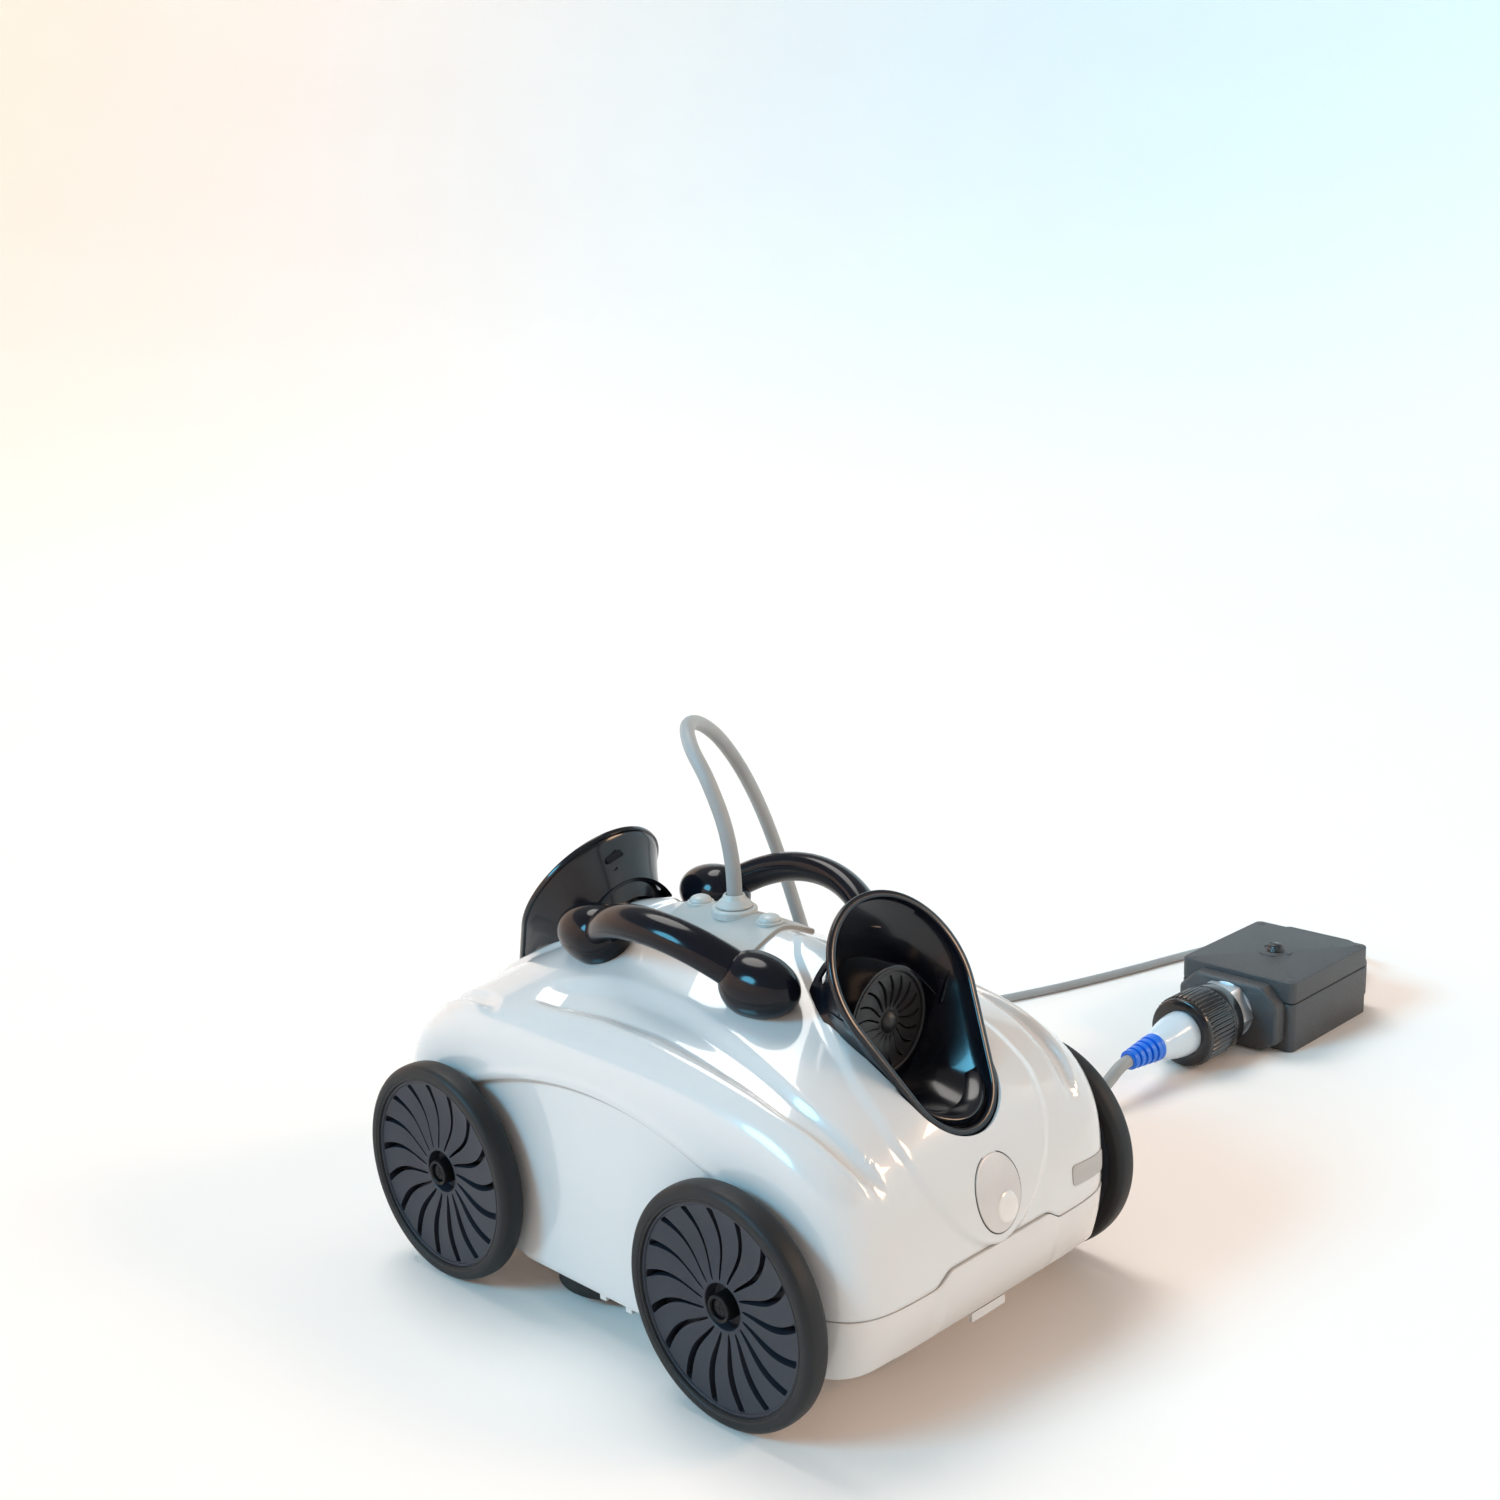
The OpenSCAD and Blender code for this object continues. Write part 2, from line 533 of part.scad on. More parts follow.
// ---- power unit ------------------------------------------------------------
unit_x = 655;
unit_y = -50;
unit_axis = 33;
lid_z = 46;
unit_end = unit_l / 2;
nut_x = unit_end + 16;
ring_x = nut_x + 20;
ring_l = 55;
cone_l = 42;
relief_l = 40;
module at_unit() translate([unit_x, unit_y, 0]) children();
module on_axis() at_unit() translate([0, 0, unit_axis]) children();
module unit_base() color([0.25, 0.25, 0.27]) difference() {
    at_unit() {
        linear_extrude(lid_z - 2) round_rect(unit_l, unit_w, 6);
        for (i = [-1, 1]) translate([i * (unit_end + 7.9), 0, 3]) linear_extrude(60)
            round_rect(16.2, unit_w - 16, 5);
    }
    at_unit() translate([0, 0, 3]) linear_extrude(80) round_rect(unit_l - 8, unit_w - 8, 3);
    on_axis() along_x(-unit_end - 17, -unit_end - 8, 16);
    on_axis() along_x(unit_end + 8, unit_end + 17, 7);
}
module unit_gasket() color([0.08, 0.08, 0.08]) at_unit() translate([0, 0, lid_z - 2]) linear_extrude(2)
    difference() {
        round_rect(unit_l - 1, unit_w - 1, 5.5);
        round_rect(unit_l - 7.5, unit_w - 7.5, 3);
    }
module unit_lid() color([0.27, 0.27, 0.29]) at_unit() difference() {
    translate([0, 0, lid_z]) linear_extrude(unit_h - lid_z) round_rect(unit_l - 0.6, unit_w, 6);
    translate([0, 0, lid_z - 1]) linear_extrude(unit_h - lid_z - 2) round_rect(unit_l - 8, unit_w - 8, 3);
    translate([0, 0, unit_h - 5]) cylinder(h = 6, r = 4.05);
}
module unit_knob() color([0.04, 0.04, 0.05]) at_unit() {
    translate([0, 0, unit_h + clear]) rotate_extrude() polygon([[0, 0], [8, 0], [8, 2], [6.5, 6], [0, 7]]);
    translate([0, 0, unit_h - 6]) cylinder(h = 7, r = 4);
}
module unit_board() color([0.1, 0.35, 0.2]) at_unit() {
    translate([-56, -46, 3]) cube([112, 92, 1.6]);
    translate([-40, -30, 4.5]) cube([42, 40, 30]);
    for (k = [0:2]) translate([30, -26 + k * 24, 4.5]) cylinder(h = 22, r = 8);
}
module socket_nut() color([0.8, 0.82, 0.84]) on_axis() difference() {
    union() {
        along_x(-nut_x - 1, -nut_x + 7.9, 15.95);
        along_x(-nut_x - 19, -nut_x, 29, $fn = 6);
        along_x(-ring_x - 30, -nut_x - 18, 24);
    }
    along_x(-ring_x - 31, -nut_x - 8, 18);
}
module coupling_ring() color([0.05, 0.05, 0.06]) on_axis() difference() {
    union() {
        along_x(-ring_x - ring_l, -ring_x, ring_r - 1.5);
        translate([-ring_x - ring_l + 4, 0, 0]) rotate([0, 90, 0]) linear_extrude(ring_l - 16)
            polygon([for (k = [0:143]) let(r = k % 4 < 2 ? ring_r : ring_r - 2)
                [r * cos(2.5 * k), r * sin(2.5 * k)]]);
    }
    along_x(-ring_x - ring_l + 6, -ring_x + 1, 24.3);
    along_x(-ring_x - ring_l - 1, -ring_x - ring_l + 7, 20.3);
}
module plug_cone() color([0.88, 0.9, 0.92]) on_axis() {
    translate([-ring_x - ring_l - cone_l, 0, 0]) rotate([0, 90, 0]) cylinder(h = cone_l, r1 = 12, r2 = 20);
    along_x(-ring_x - ring_l - 0.1, -ring_x - ring_l + 7, 20);
    along_x(-ring_x - ring_l + 6.4, -ring_x - 31, 23.5);
    along_x(-ring_x - 31.5, -ring_x - 12, 12);
}
module plug_relief() color([0.1, 0.4, 0.85]) on_axis() translate([-ring_x - ring_l - cone_l - relief_l, 0, 0])
    rotate([0, 90, 0]) difference() {
        cylinder(h = relief_l, r1 = 9, r2 = 12);
        translate([0, 0, -1]) cylinder(h = 12, r = tether_d / 2 + 0.02);
    }
module mains_gland() color([0.2, 0.2, 0.22]) on_axis() difference() {
    union() {
        along_x(unit_end + 8.1, unit_end + 20, 6.9);
        along_x(unit_end + 16.1, unit_end + 24, 12);
        translate([unit_end + 24, 0, 0]) rotate([0, 90, 0]) cylinder(h = 30, r1 = 8, r2 = 5.5);
    }
    along_x(unit_end + 40, unit_end + 56, mains_d / 2 + 0.02);
}

// ---- cords -----------------------------------------------------------------
// Hand laid route of the tether, from the swivel to the blue relief
tether_route = [
    [0, 0, 256], [0, 0, 292], [-1, 6, 324], [-2, 20, 354], [4, 42, 374], [24, 66, 382], [54, 86, 376],
    [86, 100, 358], [116, 110, 330], [142, 117, 296], [164, 122, 258], [182, 124, 216], [197, 123, 172],
    [210, 119, 128], [222, 111, 86], [234, 98, 48], [247, 80, 20], [261, 57, 7], [276, 30, 5.5],
    [294, 4, 5.5], [317, -20, 5.5], [345, -38, 8], [376, -47, 17], [402, -50, 31], [423.5, -50, 33]];
// Hand laid route of the mains lead, from the gland to the coil
mains_route = [
    [764, -50, 33], [784, -50, 33], [806, -48, 28], [826, -43, 16], [844, -34, 6], [860, -19, 4], [869, 2, 4],
    [868, 26, 4], [856, 48, 4], [836, 66, 4], [806, 80, 4], [768, 92, 4], [724, 104, 4], [676, 116, 4],
    [626, 130, 4], [576, 146, 4], [528, 164, 4], [482, 184, 4], [438, 202, 4], [398, 213, 4], [360, 216, 4],
    [330, 216, 4], [300, 216, 4]];
coil_x = 300;
coil_y = 264;
coil_r = 44;
// The tail from the coil to the plug
tail_route = [[300, 312, 12], [322, 314, 12], [344, 319, 14], [366, 324, 17]];

function unit(v) = v / norm(v);
function cr(a, b, c, d, t) = 0.5 * (2 * b + (c - a) * t + (2 * a - 5 * b + 4 * c - d) * t * t
    + (3 * b - a - 3 * c + d) * t * t * t);
// Points of a smooth curve through a route, m to each stretch
function smooth(p, m) = let(e = len(p) - 1) concat([for (i = [0:e - 1], k = [0:m - 1])
    cr(p[max(i - 1, 0)], p[i], p[i + 1], p[min(i + 2, e)], k / m)], [p[e]]);
function tangents(p) = let(e = len(p) - 1) [for (i = [0:e]) unit(p[min(i + 1, e)] - p[max(i - 1, 0)])];
function normals(t, n, i = 0) = i == len(t) ? []
    : let(m = unit(n - (n * t[i]) * t[i])) concat([m], normals(t, m, i + 1));
module tube(route, d, sides, m, start) {
    p = smooth(route, m);
    t = tangents(p);
    n = normals(t, start);
    loft([for (i = [0:len(p) - 1]) [for (j = [0:sides - 1]) let(a = 360 * j / sides)
        p[i] + d / 2 * (cos(a) * n[i] + sin(a) * cross(t[i], n[i]))]]);
}
module tether_cord() color([0.55, 0.57, 0.57]) tube(tether_route, tether_d, 10, 2, [1, 0, 0]);
module mains_lead() color([0.55, 0.57, 0.57]) {
    tube(mains_route, mains_d, 8, 1, [0, 0, 1]);
    tube(tail_route, mains_d, 8, 1, [0, 0, 1]);
}
module mains_coil() color([0.5, 0.52, 0.52]) translate([coil_x, coil_y, 0]) rotate_extrude($fn = 64)
    polygon([for (a = [0:30:330]) [coil_r + mains_d * cos(a), mains_d + mains_d * sin(a)]]);
module coil_tie() color([0.1, 0.1, 0.1]) translate([coil_x - coil_r, coil_y, 0]) difference() {
    translate([-10, -3, 0]) cube([20, 6, 17.5]);
    translate([-8.6, -4, -1]) cube([17.2, 8, 17.2]);
}
module at_plug() translate(tail_route[len(tail_route) - 1]) rotate([0, 0, 9]) children();
module mains_plug() color([0.12, 0.12, 0.13]) at_plug() {
    rotate([0, 90, 0]) cylinder(h = 22, r1 = 6, r2 = 9);
    translate([21.9, 0, 0]) rotate([0, 90, 0]) cylinder(h = 34, r = 17);
}
module plug_pins() color([0.8, 0.8, 0.82]) at_plug() for (i = [-1, 1]) translate([55.9, i * 9.5, 0])
    rotate([0, 90, 0]) cylinder(h = 19, r = 2.4);

upper_shell();
lower_shell();
bumpers();
top_plate();
plate_screws();
shell_screws();
front_nozzle();
rear_nozzle();
front_guard();
rear_guard();
left_handle();
right_handle();
handle_screws();
badge();
badge_stud();
label_plate();
pump_motor();
pump_deck();
shaft_seals();
filter_frame();
filter_screen();
float_blocks();
suction_mouths();
axle_stubs();
wheel_screws();
swivel_base();
swivel_seal();
swivel_collar();
pump_shaft();
front_propeller();
rear_propeller();
tyre_front_left();
disc_front_left();
tyre_front_right();
disc_front_right();
tyre_rear_left();
disc_rear_left();
tyre_rear_right();
disc_rear_right();
flap_left();
flap_right();
latch_front();
latch_rear();
hinge_pins();
tether_cord();
plug_relief();
plug_cone();
coupling_ring();
socket_nut();
unit_base();
unit_gasket();
unit_lid();
unit_knob();
unit_board();
mains_gland();
mains_lead();
mains_coil();
coil_tie();
mains_plug();
plug_pins();
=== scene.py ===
"""Looks of the jet driven pool cleaner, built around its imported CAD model.

Shapes are worked out in millimetres, in the CAD model's frame, and turned into metres when a mesh is made.
The front jet faces -Y, the wheels that the camera sees are at -X, and the floor is z = 0.
"""

import json
import math

import bmesh
import bpy
import numpy as np
from mathutils import Matrix, Vector


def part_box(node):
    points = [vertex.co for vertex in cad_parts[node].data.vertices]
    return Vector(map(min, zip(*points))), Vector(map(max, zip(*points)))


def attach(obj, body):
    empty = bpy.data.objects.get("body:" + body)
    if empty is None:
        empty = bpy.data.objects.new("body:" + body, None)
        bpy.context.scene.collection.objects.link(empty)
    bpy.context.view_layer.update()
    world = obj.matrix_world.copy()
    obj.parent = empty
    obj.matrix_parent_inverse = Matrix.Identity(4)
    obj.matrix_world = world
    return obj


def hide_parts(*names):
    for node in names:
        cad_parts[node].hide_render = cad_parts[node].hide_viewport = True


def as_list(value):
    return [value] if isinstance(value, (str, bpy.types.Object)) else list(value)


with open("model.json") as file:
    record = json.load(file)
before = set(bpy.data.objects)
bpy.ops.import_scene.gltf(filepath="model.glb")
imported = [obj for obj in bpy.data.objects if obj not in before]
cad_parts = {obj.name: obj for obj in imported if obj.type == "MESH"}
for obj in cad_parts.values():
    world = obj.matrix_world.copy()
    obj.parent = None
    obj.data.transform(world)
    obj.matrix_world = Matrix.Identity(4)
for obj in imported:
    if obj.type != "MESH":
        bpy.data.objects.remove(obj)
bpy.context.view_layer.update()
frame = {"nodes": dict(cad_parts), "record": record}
MM = 0.001
TURN = 2 * math.pi


def box_mm(node):
    """Lowest and highest corner of a CAD node, in millimetres."""
    low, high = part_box(node)
    return np.array(low) / MM, np.array(high) / MM


# ---- sizes read from the frame ----------------------------------------------
dome_high = box_mm("upper_shell")[1]
bumper_high = box_mm("bumpers")[1]
tyre_low, tyre_high = box_mm("tyre_front_left")
disc_low, disc_high = box_mm("disc_front_left")
guard_low, guard_high = box_mm("front_guard")
knob_low = box_mm("unit_knob")[0]
lid_low, lid_high = box_mm("unit_lid")
ring_low, ring_high = box_mm("coupling_ring")

HALF_W = dome_high[0]
HALF_L = dome_high[1]
PARTING = bumper_high[2]
RISE = dome_high[2] - PARTING
WHEEL_R = (tyre_high[2] - tyre_low[2]) / 2
AXLE_Y = -(tyre_high[1] + tyre_low[1]) / 2
TRACK = -tyre_low[0]
TYRE_IN = -tyre_high[0]
DISC_R = (disc_high[2] - disc_low[2]) / 2
SHAFT_Z = (guard_high[2] + guard_low[2]) / 2
UNIT = np.array([(lid_low[0] + lid_high[0]) / 2, (lid_low[1] + lid_high[1]) / 2, 0])
CORD_Z = (ring_low[2] + ring_high[2]) / 2
RING_R = (ring_high[2] - ring_low[2]) / 2
SLOTS = 17


# ---- camera --------------------------------------------------------------------
def make_camera():
    """The photograph's viewpoint, three quarters from the front left and above."""
    azimuth, elevation, roll = (math.radians(a) for a in (-44.95, 13.59, -1.85))
    back = Vector((
        math.sin(azimuth) * math.cos(elevation),
        -math.cos(azimuth) * math.cos(elevation),
        math.sin(elevation),
    ))
    level = Vector((math.cos(azimuth), math.sin(azimuth), 0))
    upright = back.cross(level)
    right = math.cos(roll) * level + math.sin(roll) * upright
    up = math.cos(roll) * upright - math.sin(roll) * level
    data = bpy.data.cameras.new("camera")
    data.lens = 46.86
    data.sensor_width = 36
    camera = bpy.data.objects.new("camera", data)
    aim = Matrix((right, up, back)).transposed().to_4x4()
    camera.matrix_world = Matrix.Translation((-0.9065, -0.9284, 0.6921)) @ aim
    bpy.context.scene.collection.objects.link(camera)
    bpy.context.scene.camera = camera


# ---- shapes: (points, faces) pairs in millimetres ------------------------------
def smooth(t):
    """0 below 0, 1 above 1, and a smooth step between."""
    t = np.clip(t, 0, 1)
    return t * t * (3 - 2 * t)


def soft_table(x, xs, ys, blur):
    """A table of values read at x, with its corners rounded over the width blur."""
    return sum(np.interp(x + k * blur, xs, ys) for k in (-1, -0.5, 0, 0.5, 1)) / 5


def grid_faces(rows, columns, base=0, flip=False, wrap=True):
    """Quads between the rows of a grid of points; wrap joins the last column to the first."""
    i, j = np.meshgrid(np.arange(rows - 1), np.arange(columns if wrap else columns - 1), indexing="ij")
    after = (j + 1) % columns
    quads = np.stack([i * columns + j, i * columns + after, (i + 1) * columns + after, (i + 1) * columns + j],
                     -1)
    quads = quads.reshape(-1, 4) + base
    return (quads[:, ::-1] if flip else quads).tolist()


def joined(*shapes):
    """Several shapes as one."""
    points, faces, count = [], [], 0
    for own_points, own_faces in shapes:
        points.append(np.asarray(own_points, float).reshape(-1, 3))
        faces += [[v + count for v in face] for face in own_faces]
        count += len(points[-1])
    return np.concatenate(points), faces


def moved(shape, matrix):
    """The shape moved by a matrix."""
    matrix = np.array(matrix)
    return shape[0] @ matrix[:3, :3].T + matrix[:3, 3], shape[1]


def shifted(shape, x=0, y=0, z=0):
    """The shape moved without turning."""
    return moved(shape, Matrix.Translation((x, y, z)))


def turned(shape, degrees, axis):
    """The shape turned about an axis through the origin."""
    return moved(shape, Matrix.Rotation(math.radians(degrees), 4, axis))


def mirrored(shape):
    """The shape's mirror image in the plane x = 0."""
    points, faces = shape
    return points * [-1, 1, 1], [face[::-1] for face in faces]


def fillet(corners, steps=5):
    """A line through (x, y, radius) corners, each rounded by its radius."""
    line = []
    for k, (x, y, radius) in enumerate(corners):
        here = np.array([x, y], float)
        if radius <= 0 or k in (0, len(corners) - 1):
            line.append(here)
            continue
        before = np.array(corners[k - 1][:2], float) - here
        after = np.array(corners[k + 1][:2], float) - here
        reach = min(radius, 0.49 * np.linalg.norm(before), 0.49 * np.linalg.norm(after))
        start = here + before / np.linalg.norm(before) * reach
        end = here + after / np.linalg.norm(after) * reach
        for t in np.linspace(0, 1, steps):
            line.append((1 - t) ** 2 * start + 2 * t * (1 - t) * here + t * t * end)
    return np.array(line)


def lathe(profile, sides=96, closed=False):
    """The (radius, z) profile turned round +Z."""
    profile = np.asarray(profile, float)
    if closed:
        profile = np.concatenate([profile, profile[:1]])
    angles = np.arange(sides) * TURN / sides
    points = np.stack([
        profile[:, :1] * np.cos(angles),
        profile[:, :1] * np.sin(angles),
        np.repeat(profile[:, 1:2], sides, axis=1),
    ], -1).reshape(-1, 3)
    return points, grid_faces(len(profile), sides)


def spun(corners, sides, steps=5):
    """The line through (radius, z, rounding) corners, turned round +Z."""
    return lathe(fillet(corners, steps), sides)


def rings_about_z(heights, sides, radius):
    """Rings of points about +Z; radius(ring, side) gives each point's distance from it."""
    rings = []
    for k, z in enumerate(heights):
        ring = []
        for j in range(sides):
            angle, reach = TURN * j / sides, radius(k, j)
            ring.append([reach * math.cos(angle), reach * math.sin(angle), z])
        rings.append(ring)
    return rings


def sheet(rows, wrap=True):
    """An open skin over a grid of points; wrap joins each row's ends."""
    grid = np.asarray(rows, float)
    return grid.reshape(-1, 3), grid_faces(*grid.shape[:2], wrap=wrap)


def loft(rings, caps=True):
    """A skin over rings of equal point counts, closed at both ends."""
    rings = np.asarray(rings, float)
    count, sides = rings.shape[:2]
    points = rings.reshape(-1, 3)
    faces = grid_faces(count, sides)
    if caps:
        points = np.concatenate([points, [rings[0].mean(0), rings[-1].mean(0)]])
        low, high, last = count * sides, count * sides + 1, (count - 1) * sides
        faces += [[low, (j + 1) % sides, j] for j in range(sides)]
        faces += [[high, last + j, last + (j + 1) % sides] for j in range(sides)]
    return points, faces


def rounded_rect(width, length, corner, steps=6):
    """The outline of a rectangle with round corners, anticlockwise."""
    corner = max(corner, 0.05)
    outline = []
    for quarter in range(4):
        cx = (width / 2 - corner) * (1 if quarter in (0, 3) else -1)
        cy = (length / 2 - corner) * (1 if quarter in (0, 1) else -1)
        for k in range(steps + 1):
            angle = TURN / 4 * (quarter + k / steps)
            outline.append([cx + corner * math.cos(angle), cy + corner * math.sin(angle)])
    return np.array(outline)


def block(width, length, z0, z1, corner, edge):
    """A block with round corners and softened top and bottom edges."""
    rings = []
    for z, sign in ((z0, 1), (z1, -1)):
        steps = np.linspace(0, math.pi / 2, 4)
        for angle in steps if sign > 0 else steps[::-1]:
            inset = edge * (1 - math.sin(angle))
            height = z + sign * edge * (1 - math.cos(angle))
            outline = rounded_rect(width - 2 * inset, length - 2 * inset, corner - inset)
            rings.append(np.column_stack([outline, np.full(len(outline), height)]))
    return loft(rings)


def tube(path, radii, sides=24, flat=1.0, start=(0, 0, 1)):
    """A round bar along a path; flat widens its section across the start direction."""
    path = np.asarray(path, float)
    radii = np.broadcast_to(radii, len(path))
    tangents = np.gradient(path, axis=0)
    tangents /= np.linalg.norm(tangents, axis=1)[:, None]
    normal = np.array(start, float)
    angles = np.arange(sides) * TURN / sides
    rings = []
    for point, tangent, radius in zip(path, tangents, radii):
        normal = normal - (normal @ tangent) * tangent
        normal /= np.linalg.norm(normal)
        side = np.cross(tangent, normal)
        rings.append(point + radius * (
            np.cos(angles)[:, None] * normal + flat * np.sin(angles)[:, None] * side
        ))
    return loft(rings)


def smooth_path(route, steps):
    """Points of a smooth curve through a route, so many to each stretch."""
    route = np.asarray(route, float)
    padded = np.concatenate([route[:1], route, route[-1:]])
    points = []
    for a, b, c, d in zip(padded, padded[1:], padded[2:], padded[3:]):
        for t in np.arange(steps) / steps:
            bend = (2 * a - 5 * b + 4 * c - d) * t**2 + (3 * b - a - 3 * c + d) * t**3
            points.append(0.5 * (2 * b + (c - a) * t + bend))
    return np.array(points + [route[-1]])


def path_length(points):
    """The length of a line of points."""
    return float(np.linalg.norm(np.diff(points, axis=0), axis=1).sum())


# ---- pieces ------------------------------------------------------------------------
def mesh_object(name, shape, look, sharp=30):
    """A mesh object from a shape, smooth but for edges sharper than sharp degrees."""
    points, faces = shape
    mesh = bpy.data.meshes.new(name)
    mesh.from_pydata((np.asarray(points) * MM).tolist(), [], faces)
    work = bmesh.new()
    work.from_mesh(mesh)
    bmesh.ops.remove_doubles(work, verts=work.verts, dist=0.00001)
    bmesh.ops.recalc_face_normals(work, faces=work.faces)
    work.to_mesh(mesh)
    work.free()
    mesh.shade_smooth()
    mesh.set_sharp_from_angle(angle=math.radians(sharp))
    obj = bpy.data.objects.new(name, mesh)
    obj.data.materials.append(look)
    bpy.context.scene.collection.objects.link(obj)
    return obj


def piece(name, shape, slot, body="chassis", replaces=(), sharp=30, look=None):
    """A piece of the view that rides on a body, in its slot's finish or another look."""
    obj = mesh_object(name, shape, LOOKS[look or slot], sharp)
    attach(obj, body)
    if replaces:
        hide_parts(*replaces)
    return obj


def apply_modifiers(obj, sharp=30):
    """Bakes the object's modifiers into its mesh."""
    graph = bpy.context.evaluated_depsgraph_get()
    mesh = bpy.data.meshes.new_from_object(obj.evaluated_get(graph))
    obj.modifiers.clear()
    obj.data = mesh
    mesh.shade_smooth()
    mesh.set_sharp_from_angle(angle=math.radians(sharp))


def cut(obj, shape, sharp=30):
    """Takes a closed shape out of a closed piece."""
    cutter = mesh_object("cutter", shape, obj.data.materials[0])
    modifier = obj.modifiers.new("cut", "BOOLEAN")
    modifier.object = cutter
    modifier.operation = "DIFFERENCE"
    modifier.solver = "MANIFOLD"
    apply_modifiers(obj, sharp)
    bpy.data.objects.remove(cutter)


# ---- materials --------------------------------------------------------------------
def add_node(tree, kind, *, vector=None, **values):
    """A shader node fed by a vector; an input's name has _ for each space."""
    made = tree.nodes.new(kind)
    for name, value in values.items():
        made.inputs[name.replace("_", " ")].default_value = value
    if vector:
        tree.links.new(vector, made.inputs["Vector"])
    return made


def material(name, color, rough, *, metal=0.0, coat=0.0, coat_rough=0.05, spread=0.06, spread_scale=30.0,
             grain=900.0, bump=0.03, rough_spread=0.06, specular=0.5, cells=0.0, cell_bump=0.0, speck=0.0):
    """A moulded surface: slow colour and gloss changes, a fine grain, and cells or specks where asked."""
    made = bpy.data.materials.new(name)
    made.use_nodes = True
    tree = made.node_tree
    links = tree.links
    shader = tree.nodes["Principled BSDF"]
    for name, value in (("Metallic", metal), ("Coat Weight", coat), ("Coat Roughness", coat_rough),
                        ("Specular IOR Level", specular)):
        shader.inputs[name].default_value = value
    place = tree.nodes.new("ShaderNodeTexCoord").outputs["Object"]
    cloud = add_node(tree, "ShaderNodeTexNoise", vector=place, Scale=spread_scale, Detail=4)
    tint = tree.nodes.new("ShaderNodeValToRGB")
    for stop, position, share in zip(tint.color_ramp.elements, (0.3, 0.7), (1 - spread, 1 + spread)):
        stop.position = position
        stop.color = [min(c * share, 1) for c in color] + [1]
    links.new(cloud.outputs["Fac"], tint.inputs["Fac"])
    base = tint.outputs["Color"]
    fine = add_node(tree, "ShaderNodeTexNoise", vector=place, Scale=grain, Detail=3)
    if speck:
        flecks = add_node(tree, "ShaderNodeMapRange", From_Min=0.62, From_Max=0.72, To_Max=speck)
        links.new(fine.outputs["Fac"], flecks.inputs["Value"])
        mix = tree.nodes.new("ShaderNodeMix")
        mix.data_type = "RGBA"
        links.new(flecks.outputs["Result"], mix.inputs["Factor"])
        links.new(base, mix.inputs["A"])
        mix.inputs["B"].default_value = [min(c * 2.2 + 0.04, 1) for c in color] + [1]
        base = mix.outputs["Result"]
    links.new(base, shader.inputs["Base Color"])
    gloss = add_node(tree, "ShaderNodeMapRange", To_Min=max(rough - rough_spread, 0.02),
                     To_Max=rough + rough_spread)
    links.new(cloud.outputs["Fac"], gloss.inputs["Value"])
    links.new(gloss.outputs["Result"], shader.inputs["Roughness"])
    relief = add_node(tree, "ShaderNodeBump", Strength=bump, Distance=0.0004)
    links.new(fine.outputs["Fac"], relief.inputs["Height"])
    normal = relief.outputs["Normal"]
    if cells:
        beads = add_node(tree, "ShaderNodeTexVoronoi", vector=place, Scale=cells)
        dimple = add_node(tree, "ShaderNodeBump", Strength=cell_bump, Distance=0.0005)
        dimple.invert = True
        links.new(beads.outputs["Distance"], dimple.inputs["Height"])
        links.new(normal, dimple.inputs["Normal"])
        normal = dimple.outputs["Normal"]
    links.new(normal, shader.inputs["Normal"])
    return made


